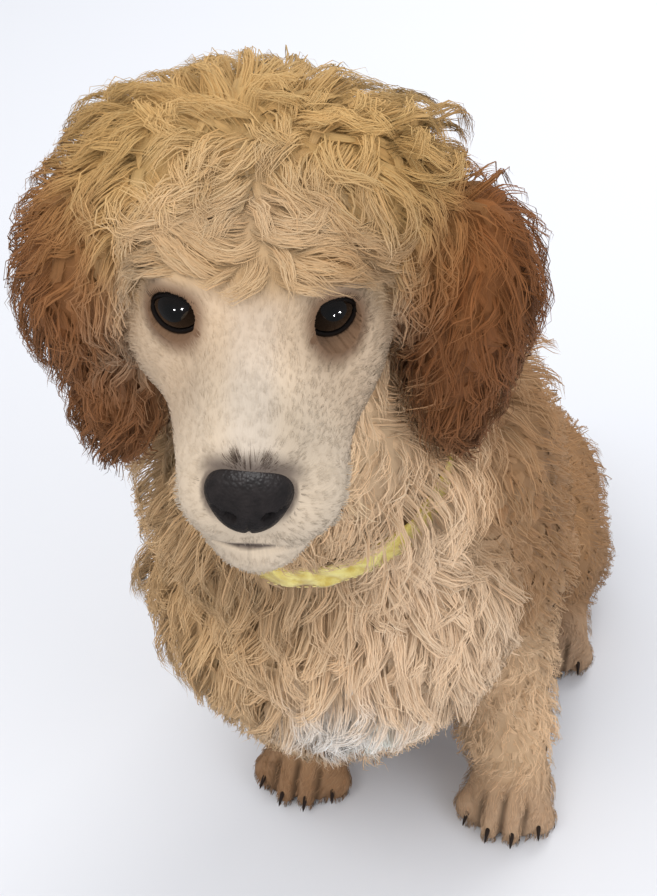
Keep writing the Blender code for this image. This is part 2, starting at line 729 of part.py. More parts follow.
FINISHES = {
    "head": ((0.62, 0.47, 0.31), 0.85),
    "ear": ((0.26, 0.12, 0.05), 0.85),
    "nose": ((0.03, 0.02, 0.02), 0.35),
    "eye": ((0.01, 0.008, 0.006), 0.05),
    "neck": ((0.50, 0.33, 0.19), 0.9),
    "torso": ((0.45, 0.28, 0.15), 0.9),
    "tail": ((0.45, 0.28, 0.15), 0.9),
    "foreleg": ((0.45, 0.30, 0.17), 0.9),
    "hindleg": ((0.42, 0.27, 0.15), 0.9),
    "forepaw": ((0.50, 0.36, 0.22), 0.85),
    "hindpaw": ((0.48, 0.34, 0.20), 0.85),
    "claw": ((0.05, 0.03, 0.02), 0.4),
    "collar": ((0.70, 0.52, 0.10), 0.4),
}


def finish_all():
    made = {kind: material(f"{kind}_finish", *finish) for kind, finish in FINISHES.items()}
    for thing in bpy.data.objects:
        thing.data.materials.clear()
        thing.data.materials.append(made[thing.name.split("_")[0]])


def clear_scene():
    for thing in list(bpy.data.objects):
        bpy.data.objects.remove(thing)


def all_masses():
    masses = head_masses() + trunk_masses()
    for side in (-1, 1):
        masses += ear_masses(side)
    for name in ("left", "right"):
        masses += foreleg_masses(name) + paw_masses(FORE_PAWS[name])
        masses += hindleg_masses(name) + paw_masses(HIND_PAWS[name])
    return masses


def main():
    clear_scene()
    masses = all_masses()
    rng = np.random.default_rng(SEED)
    whole = blended_surface("whole", masses, CORE_SHARE, VOXEL)
    places = clump_places(whole, masses, rng)
    thin_out(whole, CORE_FACES)
    grow_clumps(whole, places, masses, rng)
    thin_out(whole, COAT_FACES)
    floor = box("floor", (-1, -1, -0.1), (1, 1, 0), WORLD)
    boolean(whole, floor, "DIFFERENCE")
    remove(floor)
    make_collar(whole)
    part_whole(whole)
    head = bpy.data.objects["head"]
    for side in (-1, 1):
        hollow_ear(side)
    make_eyes(head)
    make_mouth(head, masses)
    make_nose(head)
    for name in ("left", "right"):
        make_claws(bpy.data.objects[f"forepaw_{name}"], FORE_PAWS[name], f"fore_{name}")
        make_claws(bpy.data.objects[f"hindpaw_{name}"], HIND_PAWS[name], f"hind_{name}")
    finish_all()


main()
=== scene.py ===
import math

import bmesh
import bpy
import numpy as np
from mathutils import Euler, Matrix, Vector
from mathutils.kdtree import KDTree


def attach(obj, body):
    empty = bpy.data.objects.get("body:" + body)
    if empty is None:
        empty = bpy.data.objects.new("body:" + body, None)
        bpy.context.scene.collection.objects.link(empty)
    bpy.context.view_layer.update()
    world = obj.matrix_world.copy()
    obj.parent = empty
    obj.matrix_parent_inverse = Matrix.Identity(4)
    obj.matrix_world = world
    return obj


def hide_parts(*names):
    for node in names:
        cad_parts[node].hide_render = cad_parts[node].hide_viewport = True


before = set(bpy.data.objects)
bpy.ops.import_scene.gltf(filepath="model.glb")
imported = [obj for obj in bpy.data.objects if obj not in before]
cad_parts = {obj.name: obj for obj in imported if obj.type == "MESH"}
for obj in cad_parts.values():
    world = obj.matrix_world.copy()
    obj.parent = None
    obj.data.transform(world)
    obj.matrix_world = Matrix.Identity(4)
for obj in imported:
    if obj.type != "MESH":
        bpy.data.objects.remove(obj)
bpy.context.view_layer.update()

# ---- Camera ----
# The view is from in front of the sitting puppy and above its head, a little to its left,
# as somebody standing over it would see it. The view is longer upright than it is wide.
MIDDLE = Vector((-0.0288, 0.0898, 0.0))  # the footprint's middle, measured from the left fore toes
VIEW_FROM = Vector((0.1109, -0.5643, 0.687)) - MIDDLE
VIEW_ALONG = Vector((-0.2067, 0.7714, -0.6018))
SENSOR = 36.0
FOCAL_PIXELS = 1620.0
PICTURE_HEIGHT = 896.0
CLIP_FROM = 0.05

camera = bpy.data.objects.new("camera", bpy.data.cameras.new("camera"))
bpy.context.scene.collection.objects.link(camera)
camera.data.sensor_width = SENSOR
camera.data.lens = FOCAL_PIXELS / PICTURE_HEIGHT * SENSOR
camera.data.clip_start = CLIP_FROM
camera.location = VIEW_FROM
camera.rotation_euler = VIEW_ALONG.to_track_quat("-Z", "Y").to_euler()
bpy.context.scene.camera = camera

# ---- Floor and light ----
# A plain pale studio floor, one broad soft light in front and above, a weaker one from the
# dog's left to open the shadows, and one from behind that draws the edge of the coat.
FLOOR_SIZE = 14.0
FLOOR_COLOUR = (0.72, 0.74, 0.78)
FLOOR_DROP = 0.0006
LIGHTS = {  # where each stands, its size in metres, its power in watts and its colour
    "key": ((-0.5, -1.3, 1.9), 1.2, 24.0, (1.0, 0.97, 0.93)),
    "fill": ((1.6, -0.9, 1.1), 1.2, 10.0, (0.93, 0.96, 1.0)),
    "back": ((0.4, 1.6, 1.5), 1.0, 20.0, (1.0, 0.98, 0.95)),
}
LIT_MIDDLE = (0.0, 0.0, 0.2)
SKY_COLOUR = (0.95, 0.96, 1.0, 1.0)
SKY_STRENGTH = 0.75
GLOSSY_SKY_STRENGTH = 0.13  # what mirrors in wet and smooth pieces is darker than what lights them


def add_object(name, mesh):
    thing = bpy.data.objects.new(name, mesh)
    bpy.context.scene.collection.objects.link(thing)
    return thing


def object_from(name, bm):
    mesh = bpy.data.meshes.new(name)
    bm.to_mesh(mesh)
    bm.free()
    return add_object(name, mesh)


def set_inputs(node, given):
    """Sets a node's inputs to the given values and hands the node back."""
    for label, value in given.items():
        node.inputs[label].default_value = value
    return node


def new_node(tree, kind, given=None):
    return set_inputs(tree.nodes.new(kind), given or {})


def join(tree, *joins):
    """Links from one node's output to another node's input, each named."""
    for source, output, target, entry in joins:
        tree.links.new(source.outputs[output], target.inputs[entry])


def finish_of(name, colour, roughness, given=None):
    """A material with one Principled shader, and that shader."""
    made = bpy.data.materials.new(name)
    made.use_nodes = True
    shader = made.node_tree.nodes["Principled BSDF"]
    set_inputs(shader, {"Base Color": (*colour, 1.0), "Roughness": roughness, **(given or {})})
    return made, shader


def add_lamp(name, place, lit, size, power, colour=(1.0, 1.0, 1.0)):
    """A square lamp that faces the place it lights."""
    lamp = bpy.data.lights.new(name, "AREA")
    lamp.size = size
    lamp.energy = power
    lamp.color = colour
    light = add_object(name, lamp)
    light.location = place
    light.rotation_euler = (Vector(lit) - light.location).to_track_quat("-Z", "Y").to_euler()
    return light


bm = bmesh.new()
bmesh.ops.create_grid(bm, x_segments=1, y_segments=1, size=FLOOR_SIZE / 2)
floor = object_from("floor", bm)
floor.location.z = -FLOOR_DROP
floor_finish, _ = finish_of("studio_floor", FLOOR_COLOUR, 0.9)
floor.data.materials.append(floor_finish)
floor.visible_glossy = False

for name, (place, size, power, colour) in LIGHTS.items():
    light = add_lamp(name, place, LIT_MIDDLE, size, power, colour)
    light.visible_glossy = False

world = bpy.data.worlds.new("studio")
bpy.context.scene.world = world
world.use_nodes = True
tree = world.node_tree
sky = set_inputs(tree.nodes["Background"], {"Color": SKY_COLOUR})
rays = new_node(tree, "ShaderNodeLightPath")
dimmed = new_node(tree, "ShaderNodeMapRange", {"To Min": SKY_STRENGTH, "To Max": GLOSSY_SKY_STRENGTH})
join(tree, (rays, "Is Glossy Ray", dimmed, "Value"), (dimmed, "Result", sky, "Strength"))
bpy.context.scene.view_settings.view_transform = "Standard"

# ---- Flesh ----
# The puppy's body under its coat: skull, muzzle, trunk and folded legs as balls and tapered
# limbs of muscle that run into one another, each with the depth of hair that grows on it.
HEAD_AT = Vector((-0.0536, -0.0573, 0.3742))
HEAD_TURN = Euler((math.radians(3.5), math.radians(2.3), math.radians(16.2)), "XYZ")
HEAD = Matrix.Translation(HEAD_AT - MIDDLE) @ HEAD_TURN.to_matrix().to_4x4()
WORLD = Matrix.Translation(-MIDDLE)
SIDES = {"right": -1, "left": 1}  # the dog's own, with its left at +X
EYE_AT = Vector((0.0248, -0.0385, 0.0085))
EYE_RADIUS = 0.0112
LID_THICK = 0.0020
EAR_OUT = {-1: -0.063, 1: 0.083}  # the left ear stands further out
EAR_DROP = {-1: 0.052, 1: 0.044}  # and the right one hangs a little lower
EAR_HEM = {-1: -0.054, 1: 0.080}
FORE_PAWS = {1: (0.053, 0.030), -1: (-0.059, 0.026)}
HIND_PAWS = {1: (0.056, 0.158), -1: (-0.060, 0.158)}
TOE_RADIUS = 0.0088
KNUCKLE_RADIUS = 0.0072
TOE_SPREAD = 0.0118
TOE_REACH = (0.020, 0.0285, 0.0285, 0.020)
SOLE = 0.0015
MUZZLE_SHIFT = 0.004  # the lips sit this far to the dog's left of the nose
LEFT_LIP_FULLER = 0.0035
REGIONS = ("face", "topknot", "ear", "neck", "chest", "torso", "tail", "foreleg", "hindleg", "paw")


class Ball:
    """An ellipsoid of flesh with its own turned axes."""

    def __init__(self, region, centre, radii, coat=0.0, blend=0.014, place=WORLD):
        self.region = REGIONS.index(region)
        self.centre = np.array(place @ Vector(centre))
        self.turn = np.array(place.to_3x3())
        self.radii = np.array(radii, float)
        self.coat = coat
        self.blend = blend

    def gap(self, points, grow):
        radii = self.radii + grow * self.coat
        inside = (points - self.centre) @ self.turn
        share = np.linalg.norm(inside / radii, axis=1)
        slope = np.linalg.norm(inside / radii**2, axis=1)
        return share * (share - 1.0) / np.maximum(slope, 1e-6)

    def fill(self, bm, grow):
        radii = self.radii + grow * self.coat
        turned = Matrix(self.turn.tolist()).to_4x4() @ Matrix.Diagonal((*radii, 1.0))
        turned.translation = Vector(self.centre)
        bmesh.ops.create_icosphere(bm, subdivisions=3, radius=1.0, matrix=turned)


class Limb:
    """A round, tapered length of flesh between two balls."""

    def __init__(self, region, start, end, radii, coat=0.0, blend=0.014, place=WORLD):
        self.region = REGIONS.index(region)
        self.start = np.array(place @ Vector(start))
        self.end = np.array(place @ Vector(end))
        self.radii = radii
        self.coat = coat
        self.blend = blend

    def gap(self, points, grow):
        along = self.end - self.start
        share = np.clip((points - self.start) @ along / (along @ along), 0.0, 1.0)
        radius = self.radii[0] + share * (self.radii[1] - self.radii[0]) + grow * self.coat
        return np.linalg.norm(points - self.start - share[:, None] * along, axis=1) - radius

    def fill(self, bm, grow):
        length = np.linalg.norm(self.end - self.start)
        steps = max(2, math.ceil(length / (0.4 * min(self.radii))))
        for step in range(steps + 1):
            share = step / steps
            radius = self.radii[0] + share * (self.radii[1] - self.radii[0]) + grow * self.coat
            place = Matrix.Translation(Vector(self.start + share * (self.end - self.start)))
            bmesh.ops.create_icosphere(bm, subdivisions=2, radius=radius, matrix=place)


def head_flesh():
    masses = {
        "skull": Ball("face", (0, 0, 0.006), (0.0385, 0.052, 0.036), 0.002, place=HEAD),
        "occiput": Ball("topknot", (0, 0.040, 0.008), (0.028, 0.024, 0.026), 0.024, place=HEAD),
        "forehead": Ball("face", (0, -0.026, 0.015), (0.030, 0.026, 0.020), 0.002, place=HEAD),
        "topknot": Ball("topknot", (0, 0.018, 0.016), (0.034, 0.036, 0.026), 0.028, 0.008, HEAD),
        "muzzle": Limb("face", (0, -0.036, -0.012), (MUZZLE_SHIFT, -0.090, -0.017),
                       (0.028, 0.0225), 0.002, place=HEAD),
        "bridge": Limb("face", (0, -0.044, 0.004), (0, -0.100, -0.004), (0.013, 0.011), 0.002, place=HEAD),
        "jaw": Limb("face", (0, -0.030, -0.034), (0.003, -0.099, -0.0455),
                    (0.018, 0.0135), 0.002, 0.008, HEAD),
        "right_cheek": Ball("face", (-0.0265, -0.014, -0.014), (0.0155, 0.027, 0.020), 0.004, 0.030, HEAD),
        "left_cheek": Ball("face", (0.0298, -0.020, -0.016), (0.0158, 0.033, 0.023), 0.004, 0.032, HEAD),
        "chin": Ball("face", (0.003, -0.092, -0.0440), (0.0195, 0.0160, 0.0125), 0.002, 0.010, HEAD),
    }
    flesh = list(masses.values())
    for side in SIDES.values():
        fuller = LEFT_LIP_FULLER if side > 0 else 0.0
        lip_back = (side * (0.012 + fuller) + MUZZLE_SHIFT / 2, -0.050, -0.024)
        lip_front = (side * 0.011 + MUZZLE_SHIFT, -0.099, -0.0265)
        lid_radii = (EYE_RADIUS + LID_THICK,) * 3
        hem_at = (EAR_HEM[side], 0.006, -EAR_DROP[side])
        masses = {
            "crest": Ball("topknot", (side * 0.030, 0.014, 0.019), (0.026, 0.030, 0.020), 0.026, 0.008, HEAD),
            "lip": Limb("face", lip_back, lip_front, (0.0180 + 0.3 * fuller, 0.0165), 0.002, 0.008, HEAD),
            "brow": Ball("face", (side * 0.023, -0.038, 0.0225), (0.012, 0.010, 0.006), 0.001, 0.006, HEAD),
            "lids": Ball("face", (side * EYE_AT.x, *EYE_AT.yz), lid_radii, 0.0, 0.005, HEAD),
            "ear_root": Ball("ear", (side * 0.055, 0.004, 0.004), (0.015, 0.021, 0.015), 0.016, 0.012, HEAD),
            "ear_flap": Ball("ear", (EAR_OUT[side], 0.004, -0.010), (0.014, 0.023, 0.028),
                             0.018, 0.014, HEAD),
            "ear_hem": Ball("ear", hem_at, (0.009, 0.018, 0.030), 0.017, 0.014, HEAD),
        }
        flesh += masses.values()
    return flesh


def trunk_flesh():
    masses = {
        "neck": Limb("neck", (-0.054, -0.044, 0.350), (-0.041, -0.020, 0.264), (0.037, 0.043), 0.011, 0.012),
        "withers": Limb("chest", (-0.044, -0.018, 0.252), (-0.030, 0.020, 0.235),
                        (0.045, 0.054), 0.022, 0.02),
        "ribcage": Ball("torso", (-0.031, 0.060, 0.215), (0.060, 0.064, 0.090), 0.023, 0.03),
        "breast": Ball("chest", (-0.040, 0.000, 0.167), (0.062, 0.048, 0.071), 0.034, 0.03),
        "belly": Ball("torso", (-0.017, 0.130, 0.135), (0.054, 0.058, 0.080), 0.019, 0.03),
        "pelvis": Ball("torso", (-0.004, 0.185, 0.082), (0.048, 0.062, 0.062), 0.018, 0.03),
        "tail": Limb("tail", (0.0, 0.235, 0.050), (0.012, 0.300, 0.024), (0.015, 0.010), 0.016, 0.02),
        "tail_tip": Ball("tail", (0.016, 0.318, 0.028), (0.016, 0.020, 0.014), 0.018, 0.012),
    }
    return list(masses.values())


def toe_balls(paw):
    """Middle of each toe's end ball, from the dog's right to its left."""
    return [
        Vector((paw[0] + (i - 1.5) * TOE_SPREAD, paw[1] - reach + TOE_RADIUS, TOE_RADIUS - SOLE))
        for i, reach in enumerate(TOE_REACH)
    ]


def leg_flesh(side):
    paw_x, paw_y = FORE_PAWS[side]
    shoulder = (-0.036 + side * 0.046, 0.026, 0.240)
    elbow = (-0.022 + side * 0.052, 0.056, 0.150)
    wrist = (0.85 * paw_x, paw_y + 0.014, 0.052)
    flesh = [
        Limb("torso", shoulder, elbow, (0.035, 0.026), 0.022, 0.02),
        Limb("foreleg", elbow, wrist, (0.020, 0.0145), 0.016, 0.012),
        Limb("foreleg", wrist, (paw_x, paw_y + 0.006, 0.020), (0.0145, 0.0150), 0.009, 0.012),
    ]
    paw_x, paw_y = HIND_PAWS[side]
    knee = (side * 0.041, 0.120, 0.112)
    hock = (paw_x + side * 0.001, 0.212, 0.030)
    flesh += [
        Limb("hindleg", (side * 0.028, 0.188, 0.095), knee, (0.038, 0.028), 0.012, 0.02),
        Limb("hindleg", knee, hock, (0.027, 0.015), 0.014, 0.014),
        Limb("hindleg", hock, (paw_x, paw_y + 0.010, 0.017), (0.014, 0.013), 0.010, 0.012),
    ]
    for paw_x, paw_y in (FORE_PAWS[side], HIND_PAWS[side]):
        flesh.append(Ball("paw", (paw_x, paw_y - 0.003, 0.0125), (0.0200, 0.0220, 0.0150), 0.003, 0.008))
        for ball in toe_balls((paw_x, paw_y)):
            knuckle = (paw_x + 0.65 * (ball.x - paw_x), paw_y - 0.001, 0.0165)
            flesh.append(Limb("paw", knuckle, ball, (KNUCKLE_RADIUS, TOE_RADIUS), 0.001, 0.003))
    return flesh


FLESH = head_flesh() + trunk_flesh() + leg_flesh(-1) + leg_flesh(1)
SKIN_SHARE = 0.5  # how much of the coat's depth the skin takes up, so that hair hides it
SKIN_GRID = 0.0024
LONGEST_MOVE = 0.006  # of a place that settles, in one round


def blended_gap(points, masses, grow):
    """Distance from each point to the masses' blended surface, negative inside."""
    total = np.full(len(points), 1.0)
    for mass in masses:
        near = mass.gap(points, grow)
        share = np.clip(0.5 + 0.5 * (total - near) / mass.blend, 0.0, 1.0)
        total += (near - total) * share - mass.blend * share * (1.0 - share)
    return total


def slope_at(points, masses, grow, here, step=1e-4):
    shifts = np.eye(3) * step
    return np.stack([(blended_gap(points + s, masses, grow) - here) / step for s in shifts], 1)


def settle(points, masses, grow, offset=0.0, rounds=4):
    """Moves points along the slope of the distance until they lie on the blended surface."""
    for _ in range(rounds):
        here = blended_gap(points, masses, grow)
        slope = slope_at(points, masses, grow, here)
        move = ((here - offset) / np.maximum((slope**2).sum(1), 0.05))[:, None] * slope
        points = points - np.clip(move, -LONGEST_MOVE, LONGEST_MOVE)
    return points


def apply_modifiers(thing):
    graph = bpy.context.evaluated_depsgraph_get()
    graph.update()
    old = thing.data
    thing.data = bpy.data.meshes.new_from_object(thing.evaluated_get(graph))
    thing.modifiers.clear()
    bpy.data.meshes.remove(old)


def read(mesh, what):
    values = np.empty(len(mesh.vertices) * 3)
    mesh.vertices.foreach_get(what, values)
    return values.reshape(-1, 3)


def write(mesh, places):
    mesh.vertices.foreach_set("co", places.ravel())
    mesh.update()


def wrapped(name, masses, grow, voxel):
    """A closed surface round the masses, wrapped on a grid and settled on their blended surface."""
    bm = bmesh.new()
    for mass in masses:
        mass.fill(bm, grow)
    thing = object_from(name, bm)
    remesh = thing.modifiers.new("Wrap", "REMESH")
    remesh.mode = "VOXEL"
    remesh.voxel_size = voxel
    apply_modifiers(thing)
    write(thing.data, settle(read(thing.data, "co"), masses, grow))
    return thing


def unit(vectors):
    return vectors / np.maximum(np.linalg.norm(vectors, axis=-1, keepdims=True), 1e-9)


def moved(points, place):
    """Places taken through a matrix."""
    by = np.array(place)
    return points @ by[:3, :3].T + by[:3, 3]


def in_head(points):
    """World places in the head's own frame, whose muzzle points along -Y."""
    return moved(points, HEAD.inverted())


def ease(values, low, high):
    """A smooth step from 0 at low to 1 at high."""
    share = np.clip((values - low) / (high - low), 0.0, 1.0)
    return share * share * (3.0 - 2.0 * share)


# ---- Skin ----
# One unbroken skin over all the flesh. Its mesh is finer on the face, where the clipped fur is
# so short that the skin's own shape shows: sockets for the eyes, folded lips and a mouth line.
EYE_OUTWARD = math.radians(20.0)
EYE_UPWARD = math.radians(9.0)
LID_HALF_WIDTH = 0.0088
LID_HALF_HEIGHT = 0.0077
LID_DROP = 0.0006  # the lids' opening lies this far below the middle of the eye
SOCKET_DEPTH = 0.0040
LIP_LINE = (  # half of the mouth, from its corner to the front of the lips
    (0.030, -0.062, -0.040),
    (0.025, -0.090, -0.0425),
    (0.013, -0.110, -0.0415),
    (0.0, -0.118, -0.0405),
)
MOUTH_DEPTH = 0.0016
MOUTH_WIDTH = 0.0011
FACE_BACK = -0.020  # the finer mesh begins this far ahead of the skull's middle
LOW_HEAD = 0.30
FACE_HALF_WIDTH = 0.048
EYE_FRONT = 0.004  # what is ahead of this, in an eye's frame, belongs to the eye's surroundings
FOOT_HEIGHT = 0.03
CREASE_WIDTH = 0.0017
CREASE_DEPTH = 0.0028
FLESH_NODES = ["head", "ear_left", "ear_right", "neck", "torso", "tail"]
for part in ("foreleg", "hindleg", "forepaw", "hindpaw"):
    FLESH_NODES += [f"{part}_left", f"{part}_right"]


def gaze(side):
    """Frame of one eye: its middle, with -Y along the gaze."""
    turn = Matrix.Rotation(side * EYE_OUTWARD, 4, "Z") @ Matrix.Rotation(-EYE_UPWARD, 4, "X")
    return HEAD @ Matrix.Translation((side * EYE_AT.x, *EYE_AT.yz)) @ turn


def seen_from_eye(points, side):
    """Places in one eye's frame."""
    return moved(points, gaze(side).inverted())


def lid_share(local):
    """How far out from the middle of the lids' opening a place lies: 1 is on their edge."""
    return np.hypot(local[:, 0] / LID_HALF_WIDTH, (local[:, 2] + LID_DROP) / LID_HALF_HEIGHT)


def smooth_line(points, steps=8):
    """Places along a smooth line through the given ones."""
    spots = [Vector(point) for point in points]
    spots = [2 * spots[0] - spots[1], *spots, 2 * spots[-1] - spots[-2]]
    line = []
    for before, start, end, after in zip(spots, spots[1:], spots[2:], spots[3:]):
        for t in np.arange(steps) / steps:
            bend = (2 * before - 5 * start + 4 * end - after) * t**2
            twist = (3 * start - before - 3 * end + after) * t**3
            line.append(0.5 * (2 * start + (end - before) * t + bend + twist))
    line.append(spots[-2])
    return line


def mouth_line():
    left = smooth_line(LIP_LINE)
    whole = left + [Vector((-spot.x, spot.y, spot.z)) for spot in reversed(left[:-1])]
    spots = np.array([tuple(HEAD @ spot) for spot in whole])
    return settle(spots, FLESH, SKIN_SHARE)


def toe_gap(points, width=CREASE_WIDTH):
    """How far each place lies in the gap between two toes, from 0 to 1."""
    share = np.zeros(len(points))
    for paw in (*FORE_PAWS.values(), *HIND_PAWS.values()):
        apart = points + np.array(MIDDLE) - np.array((*paw, 0.0))
        ahead = ease(-apart[:, 1], 0.013, 0.019) * (apart[:, 2] < FOOT_HEIGHT) * (apart[:, 1] > -0.035)
        fan = 0.65 + 0.35 * np.clip(-apart[:, 1] / 0.018, 0.0, 1.0)
        for i in (-1, 0, 1):
            near = np.exp(-(((apart[:, 0] - i * TOE_SPREAD * fan) / width) ** 2))
            share = np.maximum(share, near * ahead)
    return share


def face_or_toes(middles):
    """Which parts of the skin carry shapes finer than its first grid."""
    head = in_head(middles)
    in_face = (head[:, 1] < FACE_BACK) & (np.abs(head[:, 0]) < FACE_HALF_WIDTH) & (middles[:, 2] > LOW_HEAD)
    return in_face | ((middles[:, 2] < FOOT_HEIGHT) & (toe_gap(middles, 0.006) > 0.05))


def beside_lids(middles):
    """Which parts of the skin lie round the edges of the eyes."""
    near = np.zeros(len(middles), bool)
    for side in SIDES.values():
        local = seen_from_eye(middles, side)
        near |= (np.abs(lid_share(local) - 1.15) < 0.35) & (local[:, 1] < EYE_FRONT)
    return near


skin = wrapped("skin", FLESH, SKIN_SHARE, SKIN_GRID)
bm = bmesh.new()
bm.from_mesh(skin.data)
for wanted in (face_or_toes, beside_lids):
    middles = np.array([tuple(face.calc_center_median()) for face in bm.faces])
    bm.faces.ensure_lookup_table()
    fine_edges = {edge for i in np.where(wanted(middles))[0] for edge in bm.faces[i].edges}
    bmesh.ops.subdivide_edges(bm, edges=list(fine_edges), cuts=1, use_grid_fill=True)
bmesh.ops.triangulate(bm, faces=bm.faces)
bm.to_mesh(skin.data)
bm.free()
places = settle(read(skin.data, "co"), FLESH, SKIN_SHARE, rounds=2)

MOUTH = mouth_line()
lips = KDTree(len(MOUTH))
for i, spot in enumerate(MOUTH):
    lips.insert(spot, i)
lips.balance()
write(skin.data, places)
normals = read(skin.data, "normal")
head_places = in_head(places)
near_mouth = np.where((head_places[:, 1] < -0.05) & (head_places[:, 2] < -0.02))[0]
for i in near_mouth:
    apart = lips.find(places[i])[2]
    places[i] -= normals[i] * MOUTH_DEPTH * math.exp(-((apart / MOUTH_WIDTH) ** 2))
for side in SIDES.values():
    local = seen_from_eye(places, side)
    inside = (lid_share(local) < 1.12) & (local[:, 1] < EYE_FRONT) & (np.abs(local[:, 0]) < 0.02)
    sunk = local[inside]
    floor_at = -np.sqrt(np.maximum(EYE_RADIUS**2 - sunk[:, 0] ** 2 - sunk[:, 2] ** 2, 1e-6)) + SOCKET_DEPTH
    sunk[:, 1] = np.maximum(sunk[:, 1], floor_at)
    places[inside] = moved(sunk, gaze(side))
places -= normals * (CREASE_DEPTH * toe_gap(places))[:, None]
places[:, 2] = np.maximum(places[:, 2], 0.0)
write(skin.data, places)
skin.data.shade_smooth()

# ---- Eyes ----
# Dark, wet eyeballs deep in the skull, each held by an almond of black lids with a brown
# corner towards the nose. The clear front of the eye is one coat over iris and pupil.
IRIS = (0.0035, 0.002, 0.0014)
PUPIL = (0.002, 0.002, 0.002)
WHITE = (0.004, 0.0025, 0.002)
IRIS_RADIUS = 0.0076
PUPIL_RADIUS = 0.0036
LID_RIM = 0.0009
RIM_COLOUR = (0.008, 0.005, 0.004)
RIM_STEPS = 72
CORNEA_RISE = 0.0005
LASHES = 26
LASH_LENGTH = 0.0048
LASH_RADIUS = 0.00013
LASH_BEND = -0.0016
SPARKS = {  # where the two small lamps stand that mirror in each eye
    -1: ((-0.34, -1.87, 0.53), (0.54, -1.79, 0.59)),
    1: ((1.30, -1.27, 0.13), (1.68, -0.50, 0.25)),
}
SPARK_SIZE = 0.12
SPARK_POWER = 9.0


def lid_edge(turn, side):
    """One place on the edge of the lids, in the eye's frame, pointed at the corners."""
    across = LID_HALF_WIDTH * (1.0 + 0.10 * abs(math.cos(turn)) ** 6) * math.cos(turn)
    up = LID_HALF_HEIGHT * math.sin(turn) * (0.95 if math.sin(turn) > 0 else 0.92) - LID_DROP
    up += 0.06 * side * across - 0.0002
    return Vector((across, 0.0, up))


def tube_along(name, middles, sizes, turns=10, closed=True):
    """A closed tube through places, with its own radius at each."""
    count = len(middles)
    middles = np.array(middles)
    before = np.roll(middles, 1, 0) if closed else np.vstack([middles[:1], middles[:-1]])
    after = np.roll(middles, -1, 0) if closed else np.vstack([middles[1:], middles[-1:]])
    along = unit(after - before)
    side = unit(np.cross(along, middles.mean(0) + np.array((0.013, 0.2, 0.05)) - middles))
    other = np.cross(along, side)
    bm = bmesh.new()
    rings = []
    for i in range(count):
        ring = []
        for j in range(turns):
            angle = 2 * math.pi * j / turns
            spot = middles[i] + sizes[i] * (math.cos(angle) * side[i] + math.sin(angle) * other[i])
            ring.append(bm.verts.new(spot))
        rings.append(ring)
    pairs = list(zip(rings, rings[1:])) + ([(rings[-1], rings[0])] if closed else [])
    for first, second in pairs:
        for j in range(turns):
            bm.faces.new((first[j], first[(j + 1) % turns], second[(j + 1) % turns], second[j]))
    if not closed:
        bm.faces.new(rings[0])
        bm.faces.new(rings[-1])
    bmesh.ops.recalc_face_normals(bm, faces=bm.faces)
    thing = object_from(name, bm)
    thing.data.shade_smooth()
    return thing


def wear(pieces, made, slot, *nodes):
    """Gives a piece, or each of several, its finish and its place in the model."""
    for piece in pieces if isinstance(pieces, list) else [pieces]:
        piece.data.materials.clear()
        piece.data.materials.append(made)
        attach(piece, "root")
        if nodes:
            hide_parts(*nodes)


def repeat_group():
    """Node group: a shape on every point, aimed, leaned and sized by the point's own attributes."""
    group = bpy.data.node_groups.new("Repeat on points", "GeometryNodeTree")
    face = group.interface
    face.new_socket("Points", in_out="INPUT", socket_type="NodeSocketGeometry")
    face.new_socket("Shape", in_out="INPUT", socket_type="NodeSocketObject")
    face.new_socket("Variation", in_out="INPUT", socket_type="NodeSocketFloat")
    face.new_socket("Seed", in_out="INPUT", socket_type="NodeSocketInt")
    face.new_socket("Finish", in_out="INPUT", socket_type="NodeSocketMaterial")
    face.new_socket("Pieces", in_out="OUTPUT", socket_type="NodeSocketGeometry")
    given, put_out = new_node(group, "NodeGroupInput"), new_node(group, "NodeGroupOutput")
    kept = {}
    for label, kind in (("aim", "FLOAT_VECTOR"), ("lean", "FLOAT_VECTOR"), ("size", "FLOAT")):
        kept[label] = new_node(group, "GeometryNodeInputNamedAttribute", {"Name": label})
        kept[label].data_type = kind
    aimed = new_node(group, "FunctionNodeAlignRotationToVector")
    aimed.axis = "Z"
    leaned = new_node(group, "FunctionNodeAlignRotationToVector")
    leaned.axis = "X"
    leaned.pivot_axis = "Z"
    vary = new_node(group, "FunctionNodeRandomValue")
    low, high = [socket for socket in vary.inputs if socket.name in ("Min", "Max") and socket.enabled]
    low.default_value, high.default_value = -0.5, 0.5
    drawn = next(i for i, socket in enumerate(vary.outputs) if socket.enabled)
    share = new_node(group, "ShaderNodeMath", {2: 1.0})
    share.operation = "MULTIPLY_ADD"
    size = new_node(group, "ShaderNodeMath")
    size.operation = "MULTIPLY"
    shape = new_node(group, "GeometryNodeObjectInfo")
    put = new_node(group, "GeometryNodeInstanceOnPoints")
    real = new_node(group, "GeometryNodeRealizeInstances")
    finish = new_node(group, "GeometryNodeSetMaterial")
    join(
        group,
        (kept["aim"], "Attribute", aimed, "Vector"),
        (aimed, "Rotation", leaned, "Rotation"),
        (kept["lean"], "Attribute", leaned, "Vector"),
        (given, "Seed", vary, "Seed"),
        (vary, drawn, share, 0),
        (given, "Variation", share, 1),
        (share, 0, size, 0),
        (kept["size"], "Attribute", size, 1),
        (given, "Shape", shape, "Object"),
        (given, "Points", put, "Points"),
        (shape, "Geometry", put, "Instance"),
        (leaned, "Rotation", put, "Rotation"),
        (size, 0, put, "Scale"),
        (put, "Instances", real, "Geometry"),
        (real, "Geometry", finish, "Geometry"),
        (given, "Finish", finish, "Material"),
        (finish, "Geometry", put_out, "Pieces"),
    )
    return group


